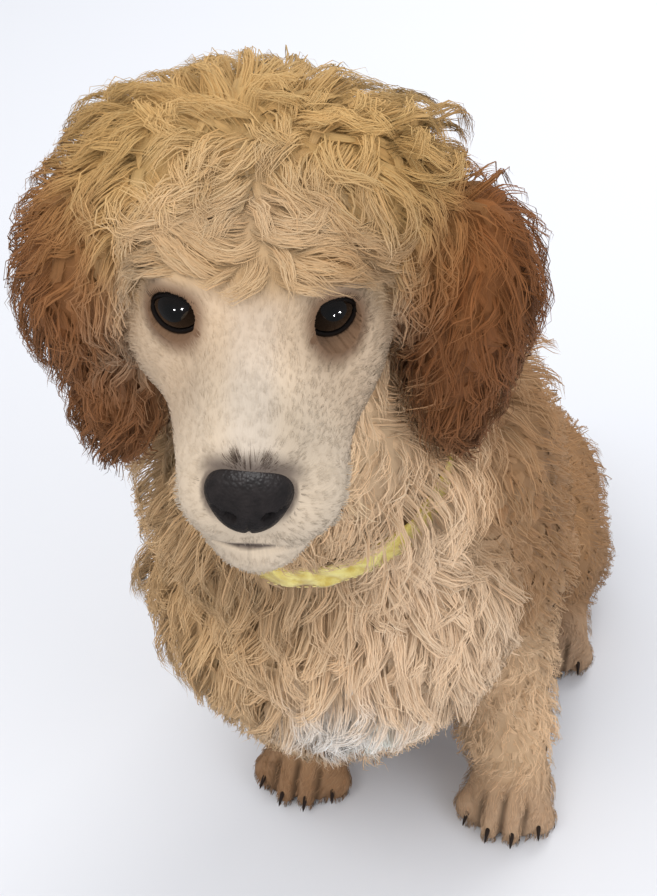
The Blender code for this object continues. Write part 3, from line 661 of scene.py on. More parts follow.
def scatter(name, shape, spots, aims, leans, sizes, finish, variation=0.2, seed=1):
    """One mesh with the shape on every spot, its Z along the aim and its X towards the lean."""
    mesh = bpy.data.meshes.new(name)
    mesh.from_pydata([tuple(spot) for spot in spots], [], [])
    for label, values in (("aim", aims), ("lean", leans)):
        kept = mesh.attributes.new(label, "FLOAT_VECTOR", "POINT")
        values = np.array([tuple(value) for value in values], np.float32)
        kept.data.foreach_set("vector", values.ravel())
    kept = mesh.attributes.new("size", "FLOAT", "POINT")
    kept.data.foreach_set("value", np.array(sizes, np.float32))
    thing = add_object(name, mesh)
    repeat = thing.modifiers.new("Repeat", "NODES")
    repeat.node_group = REPEAT
    given = {"Shape": shape, "Variation": variation, "Seed": seed, "Finish": finish}
    for item in REPEAT.interface.items_tree:
        if item.name in given:
            repeat[item.identifier] = given[item.name]
    apply_modifiers(thing)
    thing.data.shade_smooth()
    bpy.data.objects.remove(shape)
    return thing


def spike(name, radius, length, drop, sides, rings, squash=1.0):
    """A tapered spike along Z that bends towards -X, with its root at the origin."""
    bm = bmesh.new()
    loops = []
    for k in range(rings):
        share = k / rings
        size = radius * (1.0 - 0.55 * share - 0.3 * share**4)
        loop = []
        for i in range(sides):
            angle = 2 * math.pi * i / sides
            x = size * math.cos(angle) - drop * share**2
            y = squash * size * math.sin(angle)
            loop.append(bm.verts.new((x, y, length * share)))
        loops.append(loop)
    tip = bm.verts.new((-drop, 0.0, length))
    bm.faces.new(loops[0])
    for first, second in zip(loops, loops[1:]):
        for i in range(sides):
            j = (i + 1) % sides
            bm.faces.new((first[i], first[j], second[j], second[i]))
    for i in range(sides):
        bm.faces.new((loops[-1][i], loops[-1][(i + 1) % sides], tip))
    bmesh.ops.recalc_face_normals(bm, faces=bm.faces)
    return object_from(name, bm)


def tint_points(piece, name, colours):
    """Gives every point of a piece its own colour."""
    tints = piece.data.color_attributes.new(name, "FLOAT_COLOR", "POINT")
    opaque = np.hstack([colours, np.ones((len(colours), 1))])
    tints.data.foreach_set("color", opaque.astype(np.float32).ravel())


def mirror_only(light, mirrors):
    """Keeps a lamp to the highlight that it makes on the pieces of one collection."""
    light.visible_diffuse = False
    light.light_linking.receiver_collection = mirrors


REPEAT = repeat_group()
eye_finish, shader = finish_of("wet_eye", IRIS, 0.08, {"Coat Weight": 1.0, "Coat Roughness": 0.02})
tint = new_node(eye_finish.node_tree, "ShaderNodeAttribute")
tint.attribute_name = "eye_tint"
join(eye_finish.node_tree, (tint, "Color", shader, "Base Color"))
rim_finish, _ = finish_of("lid_rim", RIM_COLOUR, 0.55)
for label, side in SIDES.items():
    bm = bmesh.new()
    turned_ball = gaze(side) @ Matrix.Rotation(math.radians(90), 4, "X")
    bmesh.ops.create_uvsphere(bm, u_segments=64, v_segments=48, radius=EYE_RADIUS, matrix=turned_ball)
    eye = object_from(f"eyeball_{label}", bm)
    local = seen_from_eye(read(eye.data, "co"), side)
    apart = np.hypot(local[:, 0], local[:, 2])
    front = local[:, 1] < 0
    local[:, 1] -= CORNEA_RISE * ease(IRIS_RADIUS - apart, 0.0, IRIS_RADIUS) * front
    write(eye.data, moved(local, gaze(side)))
    white = ease(apart, IRIS_RADIUS - 0.0004, IRIS_RADIUS + 0.0006)[:, None]
    black = ease(apart, PUPIL_RADIUS - 0.0004, PUPIL_RADIUS + 0.0004)[:, None]
    ring = ease(apart, IRIS_RADIUS - 0.0020, IRIS_RADIUS)[:, None]
    ground = np.array(IRIS) * black * (1 - 0.7 * ring) + np.array(PUPIL) * (1 - black)
    tint_points(eye, "eye_tint", ground * (1 - white) + np.array(WHITE) * white)
    eye.data.shade_smooth()
    wear(eye, eye_finish, "eye_surface", f"eye_{label}")
    mirrors = bpy.data.collections.new(f"mirrors_{label}")
    mirrors.objects.link(eye)
    for i, place in enumerate(SPARKS[side]):
        light = add_lamp(f"spark_{label}_{i + 1}", place, gaze(side).translation, SPARK_SIZE, SPARK_POWER)
        mirror_only(light, mirrors)

    middles, sizes = [], []
    for i in range(RIM_STEPS):
        turn = 2 * math.pi * i / RIM_STEPS
        spot = lid_edge(turn, side)
        spot.y = -math.sqrt((EYE_RADIUS + 0.35 * LID_RIM) ** 2 - spot.x**2 - spot.z**2)
        middles.append(tuple(gaze(side) @ spot))
        sizes.append(LID_RIM * (1.0 + 0.25 * max(0.0, math.sin(turn))))
    rim = tube_along(f"lid_rim_{label}", middles, sizes)
    wear(rim, rim_finish, "nose_leather", "head")
    roots, aims = [], []
    for turn in np.linspace(0.12, 0.88, LASHES) * math.pi:
        spot = lid_edge(turn, side)
        spot.y = -math.sqrt((EYE_RADIUS + LID_RIM) ** 2 - spot.x**2 - spot.z**2)
        roots.append(gaze(side) @ spot)
        aims.append(gaze(side).to_3x3() @ Vector((0.5 * math.cos(turn), -0.9, 0.55)))
    lash = spike("lash", LASH_RADIUS, LASH_LENGTH, LASH_BEND, 3, 4)
    leans, sizes = [(0, 0, 1)] * LASHES, [1.0] * LASHES
    lashes = scatter(f"lashes_{label}", lash, roots, aims, leans, sizes, rim_finish, 0.5, 3)
    wear(lashes, rim_finish, "face_coat", "head")

# ---- Nose ----
# A black leathery pad, pebbled all over, with comma-shaped nostrils that open to the sides
# and a groove down the middle of its front.
NOSE_FLESH = [
    Ball("face", (0, -0.1120, -0.0150), (0.0152, 0.0100, 0.0105), blend=0.005, place=HEAD),
    Ball("face", (0, -0.1115, -0.0218), (0.0122, 0.0095, 0.0108), blend=0.005, place=HEAD),
]
NOSE_GRID = 0.0007
NOSTRIL_OUT = 0.0068
NOSTRIL_UP = -0.0205
NOSTRIL_DEPTH = 0.0042
SLIT_LENGTH = 0.0060
GROOVE_WIDTH = 0.0007
GROOVE_DEPTH = 0.0009
PEBBLES_PER_METRE = 850.0
NOSE_TOP = Vector((0.0, -0.118, -0.011))
NOSE_SHEEN_LEAN = (0.0, 0.25, 0.55)  # the wet top of the pad mirrors a lamp of its own
NOSE_SHEEN_AWAY = 1.2
NOSE_SHEEN_SIZE = 0.5
NOSE_SHEEN_POWER = 10.0
nose = wrapped("nose_pad", NOSE_FLESH, 0.0, NOSE_GRID)
places = read(nose.data, "co")
normals = read(nose.data, "normal")
local = in_head(places)
beside = np.abs(local[:, 0]) - NOSTRIL_OUT
above = local[:, 2] - NOSTRIL_UP
comma = np.hypot(beside / 0.0024, above / 0.0028)
slit_at = np.clip(beside / SLIT_LENGTH, 0.0, 1.0)
slit = np.abs(above - 0.0030 * slit_at) / 0.0010 + 4.0 * (beside < 0)
slit_share = 0.55 * ease(1.5 - slit, 0.0, 1.0) * ease(1.0 - slit_at, 0.0, 0.3)
hollow = np.maximum(ease(1.25 - comma, 0.0, 0.75), slit_share)
hollow *= ease(-local[:, 1], 0.1110, 0.1140)
groove = np.exp(-((local[:, 0] / GROOVE_WIDTH) ** 2))
groove *= ease(-local[:, 1], 0.112, 0.116) * ease(-local[:, 2], 0.0175, 0.0235)
places -= normals * (NOSTRIL_DEPTH * hollow + GROOVE_DEPTH * groove)[:, None]
write(nose.data, places)
nose.data.shade_smooth()
nose_finish, shader = finish_of("nose_leather", (0.012, 0.009, 0.009), 0.5)
tree = nose_finish.node_tree
spot = new_node(tree, "ShaderNodeTexCoord")
pebbles = new_node(tree, "ShaderNodeTexVoronoi", {"Scale": PEBBLES_PER_METRE})
pebbles.feature = "SMOOTH_F1"
set_inputs(pebbles, {"Smoothness": 0.4})
bump = new_node(tree, "ShaderNodeBump", {"Strength": 0.7, "Distance": 0.0004})
bump.invert = True
mottle = new_node(tree, "ShaderNodeTexNoise", {"Scale": 260.0})
ramp = new_node(tree, "ShaderNodeValToRGB")
ramp.color_ramp.elements[0].color = (0.008, 0.007, 0.007, 1.0)
ramp.color_ramp.elements[1].color = (0.034, 0.026, 0.025, 1.0)
join(
    tree,
    (spot, "Object", pebbles, "Vector"),
    (spot, "Object", mottle, "Vector"),
    (pebbles, "Distance", bump, "Height"),
    (bump, "Normal", shader, "Normal"),
    (mottle, "Fac", ramp, "Fac"),
    (ramp, "Color", shader, "Base Color"),
)
wear(nose, nose_finish, "nose_leather", "nose")
mirrors = bpy.data.collections.new("mirrors_nose")
mirrors.objects.link(nose)
middle = HEAD @ NOSE_TOP
to_camera = (camera.location - middle).normalized()
sheen_facing = (to_camera + Vector(NOSE_SHEEN_LEAN)).normalized()
to_lamp = 2.0 * sheen_facing.dot(to_camera) * sheen_facing - to_camera
lamp_at = middle + NOSE_SHEEN_AWAY * to_lamp
mirror_only(add_lamp("nose_sheen", lamp_at, middle, NOSE_SHEEN_SIZE, NOSE_SHEEN_POWER), mirrors)

# ---- Collar ----
# A soft woven ribbon round the neck, pale yellow and slightly crumpled where it turns, sewn
# along both edges, with a small dark ring under the chin.
COLLAR_AT = Vector((-0.040, -0.016, 0.260)) - MIDDLE
COLLAR_TILT = Euler((math.radians(24.0), math.radians(-9.0), 0.0), "XYZ")
COLLAR_HALF_WIDTH = 0.060
COLLAR_HALF_DEPTH = 0.063
COLLAR_BAND = 0.018
COLLAR_THICK = 0.0026
COLLAR_STEPS = 300
COLLAR_PLACE = Matrix.Translation(COLLAR_AT) @ COLLAR_TILT.to_matrix().to_4x4()
CLEAR_SECTOR = (math.radians(-101.0), math.radians(-59.0))  # the stretch that hair leaves free
EDGE_STEPS = 8  # across each face of the ribbon
CRUMPLES = 14
CRUMPLE_DEPTH = 0.00045
RIBBON_SWAY = 0.0006


def round_collar(turn, out, up):
    """A place round the neck, out from the collar's inner face and up from its middle."""
    wide, deep = COLLAR_HALF_WIDTH + out, COLLAR_HALF_DEPTH + out
    return Vector((wide * math.cos(turn), deep * math.sin(turn), up))


def seen_from_collar(points):
    return moved(points, COLLAR_PLACE.inverted())


rng = np.random.default_rng(21)
profile = []
for i in range(EDGE_STEPS + 1):
    up = -0.5 + i / EDGE_STEPS
    profile.append((1.0 - 0.30 * (2 * up) ** 4, up))
for i in range(EDGE_STEPS + 1):
    up = 0.5 - i / EDGE_STEPS
    profile.append((0.25 * (2 * up) ** 4, up))
profile = np.array(profile)
turns = np.arange(COLLAR_STEPS) * 2 * math.pi / COLLAR_STEPS
crumple = np.zeros((COLLAR_STEPS, len(profile)))
for _ in range(CRUMPLES):
    around, across = rng.integers(6, 34), rng.uniform(-3.5, 3.5)
    crumple += np.sin(around * turns[:, None] + across * profile[None, :, 1] * math.pi + rng.uniform(0, 6.28))
crumple *= CRUMPLE_DEPTH / 2.6
sway = RIBBON_SWAY * np.sin(5 * turns + 1.0) + 0.0004 * np.sin(11 * turns)
bm = bmesh.new()
loops = []
for i, turn in enumerate(turns):
    ring = []
    for (out, up), dent in zip(profile, crumple[i]):
        grow = COLLAR_THICK * out * 0.95 + 0.0001 + dent
        spot = round_collar(turn, grow, 0.92 * COLLAR_BAND * up + sway[i])
        ring.append(bm.verts.new(COLLAR_PLACE @ spot))
    loops.append(ring)
for first, second in zip(loops, loops[1:] + loops[:1]):
    for j in range(len(profile)):
        k = (j + 1) % len(profile)
        bm.faces.new((first[j], second[j], second[k], first[k]))
bmesh.ops.recalc_face_normals(bm, faces=bm.faces)
ribbon = object_from("collar_ribbon", bm)
ribbon.data.shade_smooth()
ribbon_finish, shader = finish_of("ribbon", (0.80, 0.66, 0.16), 0.38, {"Sheen Weight": 0.3})
tree = ribbon_finish.node_tree
spot = new_node(tree, "ShaderNodeTexCoord")
weave = new_node(tree, "ShaderNodeTexNoise", {"Scale": 1600.0})
folds_and_fold_shade = new_node(tree, "ShaderNodeTexNoise", {"Scale": 190.0, "Detail": 4.0})
# Painted light and shade of the crumpled satin: the colour follows the fold height, paler on the ridges and
# darker in the hollows.
ramp = new_node(tree, "ShaderNodeValToRGB")
ramp.color_ramp.elements[0].position = 0.35
ramp.color_ramp.elements[0].color = (0.66, 0.48, 0.07, 1.0)
ramp.color_ramp.elements[1].position = 0.65
ramp.color_ramp.elements[1].color = (0.90, 0.78, 0.26, 1.0)
bump = new_node(tree, "ShaderNodeBump", {"Strength": 0.8, "Distance": 0.0009})
fine = new_node(tree, "ShaderNodeBump", {"Strength": 0.3, "Distance": 0.0002})
join(
    tree,
    (spot, "Object", weave, "Vector"),
    (spot, "Object", folds_and_fold_shade, "Vector"),
    (folds_and_fold_shade, "Fac", ramp, "Fac"),
    (ramp, "Color", shader, "Base Color"),
    (folds_and_fold_shade, "Fac", bump, "Height"),
    (weave, "Fac", fine, "Height"),
    (bump, "Normal", fine, "Normal"),
    (fine, "Normal", shader, "Normal"),
)
wear(ribbon, ribbon_finish, "collar_band", "collar")

STITCHES = 110  # in each of the two rows
STITCH_OUT = 0.0024
STITCH_ROW = 0.39  # how far each row lies from the ribbon's middle, as a share of its width
STITCH_RADII = (0.00022, 0.00030, 0.00115)
spots, aims, leans = [], [], []
for row in (-1, 1):
    for i in range(STITCHES):
        turn = 2 * math.pi * (i + 0.25 * row) / STITCHES
        up = row * STITCH_ROW * COLLAR_BAND + RIBBON_SWAY * math.sin(5 * turn + 1.0)
        spot = round_collar(turn, STITCH_OUT, up)
        spots.append(COLLAR_PLACE @ spot)
        aims.append(COLLAR_PLACE.to_3x3() @ Vector((-spot.y, spot.x, 0.0)))
        leans.append(COLLAR_PLACE.to_3x3() @ Vector((spot.x, spot.y, 0.0)))
bm = bmesh.new()
slim = Matrix.Diagonal((*STITCH_RADII, 1.0))
bmesh.ops.create_uvsphere(bm, u_segments=6, v_segments=5, radius=1.0, matrix=slim)
thread = object_from("stitch", bm)
thread_finish, _ = finish_of("thread", (0.85, 0.72, 0.30), 0.5)
stitches = scatter("collar_stitches", thread, spots, aims, leans, [1.0] * len(spots), thread_finish, 0.15, 5)
wear(stitches, thread_finish, "collar_band", "collar")

RING_TURN = math.radians(-112.0)
RING_RADIUS = 0.0042
RING_WIRE = 0.0007
RING_STEPS = 40
hang = round_collar(RING_TURN, COLLAR_THICK + 0.0012, -COLLAR_BAND / 2 - 0.0015)
level = Vector((math.sin(RING_TURN), -math.cos(RING_TURN), 0.0))
middles = []
for i in range(RING_STEPS):
    turn = 2 * math.pi * i / RING_STEPS
    spoke = level * math.cos(turn) + Vector((0, 0, math.sin(turn)))
    middles.append(tuple(COLLAR_PLACE @ (hang + RING_RADIUS * spoke)))
ring = tube_along("collar_ring", middles, [RING_WIRE] * RING_STEPS, 8)
steel, _ = finish_of("dark_steel", (0.10, 0.09, 0.08), 0.32, {"Metallic": 1.0})
wear(ring, steel, "collar_band")

# ---- Coat of the topknot ----
# A puppy's soft wool on the crown: strands share a lock, rise from the skin, lean away from the
# crown and turn in loose curls. Every coat piece below is combed by the same functions.
SEED = 4
COLOURS = {
    "face": (0.590, 0.445, 0.307),
    "topknot": (0.53, 0.335, 0.130),
    "ear": (0.235, 0.095, 0.034),
    "neck": (0.92, 0.64, 0.38),
    "chest": (0.74, 0.52, 0.31),
    "torso": (0.37, 0.203, 0.092),
    "tail": (0.37, 0.203, 0.092),
    "foreleg": (0.76, 0.51, 0.30),
    "hindleg": (0.37, 0.203, 0.092),
    "paw": (0.37, 0.24, 0.145),
}
BIB_PATCH = Vector((-0.016, -0.066, 0.126)) - MIDDLE  # a pale patch low on the chest
BIB_REACH = 0.038
UNDER_CHIN = Vector((-0.036, -0.085, 0.225)) - MIDDLE  # the bib is dusky where the chin shades it
CHIN_REACH = 0.064
BIB_COLOUR = (0.95, 0.91, 0.84)
BLAZE_COLOUR = (0.53, 0.43, 0.335)
FRINGE_COLOUR = (0.555, 0.372, 0.200)
HALO_COLOUR = (0.16, 0.085, 0.045)
SMUDGE_COLOUR = (0.085, 0.060, 0.050)
MOUTH_UP = -0.0397  # the height of the mouth's line in the head's frame
PATCH = 0.003  # each strand's patch on the unwrap
ROOT_DEPTH = 0.0008  # how far a strand starts under the skin
FLATNESS = 0.6  # a strand's thickness as a share of its width
BODY_SIDES = 4  # corners round one lock's solid body
BODY_FLATNESS = 0.35
BODY_LINES = 4.0  # how many hairs' worth of fine lines run along it
# painted shade on the locks' solid bodies, which lie deep under the strands
BODY_PAINTED_SHADE = 0.90
BODY_SINK = 0.0035
BODY_ROOT_DEPTH = 0.0015
OVER_EYE = (-0.04, -0.004)  # the stretch in front of an eye's middle that no hair may cross
EYE_GUARD = 1.12  # how far round the lids' opening no strand passes
BROW_CLEAR = 0.0012  # and how much further above it
FLOOR_GAP = 0.0003
WISP_WIDTH = 2.2  # a wisp's width in strands: several hairs that stick together
WISP_FLATNESS = 0.28
SHADOW_SHARE = 0.2  # fine hair lets some light through, so strands cast softer shadows
FAR_OFF = 9.0  # a share past the edge of any marking
DARKEST = 0.004
PALEST = 0.95
REGION_COLOURS = np.array([COLOURS[region] for region in REGIONS])
PLAIN_LIES = {  # the way the hair falls on the parts of the body
    "neck": (0, 0.25, -1),
    "chest": (0, -0.1, -1),
    "torso": (0, 0.5, -1),
    "tail": (0.25, 1, -0.3),
    "foreleg": (0, 0.1, -1),
    "hindleg": (0, 0.4, -1),
    "paw": (0, -1, -0.4),
}
NOSE_POINT = np.array((0.0, -0.125, -0.010))  # the clipped hair of the face lies back from here
BROW_FROM = 0.016


def coat_shares(points):
    """How much each region counts at each place, and the depth of coat over the skin there."""
    shares = np.zeros((len(points), len(REGIONS)))
    depth = np.zeros(len(points))
    for mass in FLESH:
        weight = np.exp(-np.maximum(mass.gap(points, SKIN_SHARE), 0.0) / 0.005)
        shares[:, mass.region] += weight
        depth += weight * mass.coat
    total = shares.sum(1) + 1e-12
    return shares / total[:, None], (1.0 - SKIN_SHARE) * depth / total


def ripple(points, reach, seed):
    """Smooth noise between about -1 and 1 that changes over the given distance."""
    rng = np.random.default_rng(seed)
    total = np.zeros(len(points))
    for _ in range(5):
        total += np.sin(points @ (rng.normal(size=3) * 3.0 / reach) + rng.uniform(0, 2 * math.pi))
    return total / 2.5


def nearer(colour, share, other):
    """The colour at each place, taken by its share towards another colour."""
    return colour + share[:, None] * (np.array(other) - colour)


def coat_markings(points, shares):
    """The coat's broad colours: blaze, rust beside the crown, gold fringe, bib, ears and paws, with painted
    shade under the chin, on the fringe's left and on the right paw, and painted light on the topknot's right
    and the left paw.
    """
    part = {region: shares[:, i] for i, region in enumerate(REGIONS)}
    head = in_head(points)
    colour = shares @ REGION_COLOURS
    blaze = ease(0.013 - np.abs(head[:, 0]) - 0.25 * np.maximum(head[:, 2] - 0.02, 0), 0.0, 0.010)
    blaze *= ease(-head[:, 1], 0.0, 0.03) * (head[:, 2] > -0.02) * part["face"]
    colour = nearer(colour, 0.7 * blaze, BLAZE_COLOUR)
    rust = ease(np.abs(head[:, 0]), 0.046, 0.060) * ease(0.042 - head[:, 2], 0.0, 0.015)
    colour = nearer(colour, rust * part["topknot"], COLOURS["ear"])
    gold = ease(head[:, 2], 0.0185, 0.028) * ease(-head[:, 1], -0.02, 0.0) * part["face"]
    # Painted shade: the gold fringe is darkened on the dog's left, the side away from the key light.
    fringe_side_shade = ease(head[:, 0], 0.008, 0.030)[:, None] * np.array((0.30, 0.39, 0.50))
    colour = nearer(colour, gold, np.array(FRINGE_COLOUR) * (1 - fringe_side_shade))
    bib = ease(BIB_REACH - np.linalg.norm(points - np.array(BIB_PATCH), axis=1), 0.0, 0.02)
    colour = nearer(colour, 0.85 * bib, BIB_COLOUR)
    muzzle = part["face"] * ease(-head[:, 1], 0.055, 0.100)
    colour *= 1.0 + muzzle[:, None] * np.array((0.03, 0.11, 0.20))
    paler = ease(points[:, 0] + MIDDLE.x, -0.09, 0.01)[:, None]
    chest = (1 - paler) * np.array((0.84, 0.77, 0.64)) + paler * np.array((1.16, 1.18, 1.28))
    chin = ease(CHIN_REACH - np.linalg.norm(points - np.array(UNDER_CHIN), axis=1), 0.0, 0.036)
    chest *= 1 - chin[:, None] * np.array((0.18, 0.21, 0.26))
    colour *= 1.0 + (part["chest"] * (1 - bib))[:, None] * (chest - 1.0)
    # Painted light: the topknot is lighter on the dog's right, the side towards the key light.
    colour *= 1.0 + 0.09 * (part["topknot"] * ease(-head[:, 0], 0.010, 0.040))[:, None]
    left = (points[:, 0] + MIDDLE.x > 0.0)[:, None]
    ears = np.where(left, (0.93, 0.87, 0.76), (1.14, 1.14, 1.08))
    # Painted light and shade on the paws: the dog's left paw is lightened, and its right paw is darkened and
    # a little warmer.
    paws = np.where(left, (1.34, 1.36, 1.40), (0.90, 0.78, 0.66))
    colour *= 1.0 + part["ear"][:, None] * (ears - 1.0)
    colour *= 1.0 + part["paw"][:, None] * (paws - 1.0)
    return colour


def markings(points, shares):
    """The colour at each place: the coat's, darker brown round the eyes, with dark hair at the nose and lips
    and painted shade between the toes.
    """
    colour = coat_markings(points, shares)
    head = in_head(points)
    for side in SIDES.values():
        local = seen_from_eye(points, side)
        share = np.where(local[:, 1] < EYE_FRONT, lid_share(local), FAR_OFF)
        halo = 0.92 * ease(2.05 - share, 0.0, 0.95)
        tear = np.hypot((-side * local[:, 0] - 0.0105) / 0.0036, (local[:, 2] + 0.0022) / 0.0016)
        tear = np.where(local[:, 1] < EYE_FRONT, tear, FAR_OFF)
        halo = np.maximum(halo, 0.95 * ease(1.25 - tear, 0.0, 0.6))
        colour = nearer(colour, halo, HALO_COLOUR)
    beyond = blended_gap(points, NOSE_FLESH, 0.0)
    above_nose = 0.85 * ease(0.0075 - beyond, 0.0, 0.0065) * ease(head[:, 2], -0.016, -0.006)
    beside_nose = 0.8 * ease(0.0022 - beyond, 0.0, 0.0015) * ease(head[:, 2], -0.028, -0.020)
    lips_at = np.hypot((head[:, 2] - MOUTH_UP) / 0.0018, head[:, 0] / 0.010)
    lips_at = np.where(head[:, 1] > -0.1, FAR_OFF, lips_at)
    at_lips = 0.95 * ease(1.3 - lips_at, 0.0, 0.7)
    smudge = np.maximum(np.maximum(above_nose, beside_nose), at_lips)
    colour = nearer(colour, smudge, SMUDGE_COLOUR)
    # Painted shade in the creases between the toes.
    colour *= 1.0 - 0.65 * toe_gap(points)[:, None]
    return colour * (1.0 + 0.07 * ripple(points, 0.030, 5))[:, None]


def lie_at(points, normals, shares, brow_from=BROW_FROM):
    """The way the hair would fall at each place, and the way it lies on the skin there."""
    head = in_head(points)
    turn = np.array(HEAD.to_3x3())
    side = np.sign(head[:, 0])
    lies = np.zeros((len(points), 3))
    back = unit(head - NOSE_POINT)
    lies += shares[:, [0]] * (back @ turn.T)
    out = np.stack([head[:, 0], head[:, 1] - 0.012, np.zeros(len(head))], 1)
    out = unit(out) + np.array((0.0, 0.0, -0.55))
    lies += shares[:, [1]] * (out @ turn.T)
    lies += shares[:, [2]] * (np.stack([0.12 * side, 0.05 + 0 * side, -1 + 0 * side], 1) @ turn.T)
    lies += shares[:, 3:] @ np.array(list(PLAIN_LIES.values()))
    beside = np.abs(head[:, 0])
    brow = ease(head[:, 2], brow_from, brow_from + 0.006) * (1 - ease(head[:, 2], 0.044, 0.054))
    brow = brow * ease(-head[:, 1], 0.0, 0.012)
    sweep = np.stack([side * ease(beside, 0.0, 0.020), -0.35 + 0 * beside, -0.35 - 13.0 * beside], 1)
    lies += (brow[:, None] * 2.0) * (unit(sweep) @ turn.T)
    straight = unit(lies + 1e-6)
    flat = straight - normals * (straight * normals).sum(1, keepdims=True)
    return straight, unit(flat + 1e-6)


def turned(vectors, axes, angles):
    """Vectors turned about axes at right angles to them."""
    return vectors * np.cos(angles)[:, None] + np.cross(axes, vectors) * np.sin(angles)[:, None]


def normals_at(points):
    return unit(slope_at(points, FLESH, SKIN_SHARE, blended_gap(points, FLESH, SKIN_SHARE)))


SKIN_PLACES = read(skin.data, "co")
skin.data.calc_loop_triangles()
corners = np.empty(3 * len(skin.data.loop_triangles), int)
skin.data.loop_triangles.foreach_get("vertices", corners)
SKIN_CORNERS = SKIN_PLACES[corners.reshape(-1, 3)]
SKIN_AREAS = 0.5 * np.linalg.norm(
    np.cross(SKIN_CORNERS[:, 1] - SKIN_CORNERS[:, 0], SKIN_CORNERS[:, 2] - SKIN_CORNERS[:, 0]), axis=1
)
SKIN_MIDDLES = SKIN_CORNERS.mean(1)
middle_shares, _ = coat_shares(SKIN_MIDDLES)
blur = 0.12 * np.random.default_rng(SEED).normal(size=middle_shares.shape)
SKIN_REGIONS = np.argmax(middle_shares + blur, axis=1)
HEAD_MIDDLES = in_head(SKIN_MIDDLES)
over_ear = (np.abs(HEAD_MIDDLES[:, 0]) > 0.053) & (HEAD_MIDDLES[:, 2] < 0.034)
SKIN_REGIONS[over_ear & (SKIN_REGIONS == REGIONS.index("topknot"))] = REGIONS.index("ear")


def strand_roots(where, count, rng):
    """Places spread over part of the skin."""
    chance = SKIN_AREAS * where
    picks = rng.choice(len(chance), count, p=chance / chance.sum())
    first, second = rng.random(count), rng.random(count)
    flip = first + second > 1
    first[flip], second[flip] = 1 - first[flip], 1 - second[flip]
    start, one, other = SKIN_CORNERS[picks].swapaxes(0, 1)
    return start + first[:, None] * (one - start) + second[:, None] * (other - start)


def spread_out(points, spacing):
    """Picks places no nearer to each other than the spacing."""
    chosen = []
    for i, point in enumerate(points):
        if not chosen or ((points[chosen] - point) ** 2).sum(1).min() > spacing**2:
            chosen.append(i)
    return points[chosen]


def comb_locks(starts, style, rng):
    """The middle lines of locks: along the lie, rising through the coat, with curls or waves."""
    count, steps = len(starts), style["rings"]
    reach = style["length"] * rng.uniform(0.75, 1.2, count)
    bend = 1.1 * ripple(starts, 0.030, 11) + 0.45 * rng.normal(size=count)
    bend = style["bend"] * np.clip(bend, -1.3, 1.3)
    start_turn = style["stray"] * rng.normal(size=count) + style["swirl"] * ripple(starts, 0.032, 3)
    phase = rng.uniform(0, 2 * math.pi, count)
    spots, normals = starts, normals_at(starts)
    shares, first_depth = coat_shares(starts)
    head = in_head(starts)
    near_ear = ease(np.abs(head[:, 0]), 0.030, 0.056) * shares[:, 1] * (head[:, 2] < 0.026)
    reach = reach * (1.0 - 0.45 * near_ear)
    top = style["lift"] * rng.uniform(style["low"], 1.08, count)
    tuft = ease(head[:, 0], 0.038, 0.050) * ease(head[:, 2], 0.020, 0.032) * shares[:, 1]
    top = top * (1.0 + 0.75 * tuft * rng.random(count))
    hem = style["hem"] + 0.4 * np.maximum(-0.045 - MIDDLE.x - starts[:, 0], 0.0)
    above = ease(starts[:, 2], hem - 0.03, hem + 0.01)
    top = top * (0.40 + 0.60 * above)
    reach = reach * (0.50 + 0.50 * above)
    falling = np.zeros(count, bool)
    lines, ups = [], []
    for step in range(steps + 1):
        share = step / steps
        normals = np.where(falling[:, None], normals, normals_at(spots))
        shares, depth = coat_shares(spots)
        depth = np.maximum(depth, np.maximum(0.75 * first_depth, style["least"]))
        ups.append(normals)
        straight, lies = lie_at(spots, normals, shares, style["brow_from"])
        falling |= (straight * normals).sum(1) > 0.55
        lies = turned(lies, normals, start_turn + bend * share)
        rise = math.sin(0.5 * math.pi * min(1.0, share / 0.55)) - 0.22 * max(0.0, share - 0.55) / 0.45
        angle = phase + 2 * math.pi * style["turns"] * share
        size = style["curl"] * min(1.0, 1.6 * share)
        aside = np.cross(normals, lies)
        curl = np.cos(angle)[:, None] * normals * 0.6 + np.sin(angle)[:, None] * aside
        wave = np.sin(2 * math.pi * (spots[:, 2] / style["wave_length"]) + 1.3 * ripple(starts, 0.03, 8))
        waves = (style["wave"] * min(1.0, 2 * share) * wave)[:, None] * (0.7 * aside + 0.5 * normals)
        lines.append(spots + normals * (top * depth * rise)[:, None] + size * curl + waves)
        onward = settle(spots + lies * (reach / steps)[:, None], FLESH, SKIN_SHARE, rounds=2)
        downward = spots + straight * (style["fall"] * reach / steps)[:, None]
        spots = np.where(falling[:, None], downward, onward)
    return np.stack(lines, 1), np.stack(ups, 1)


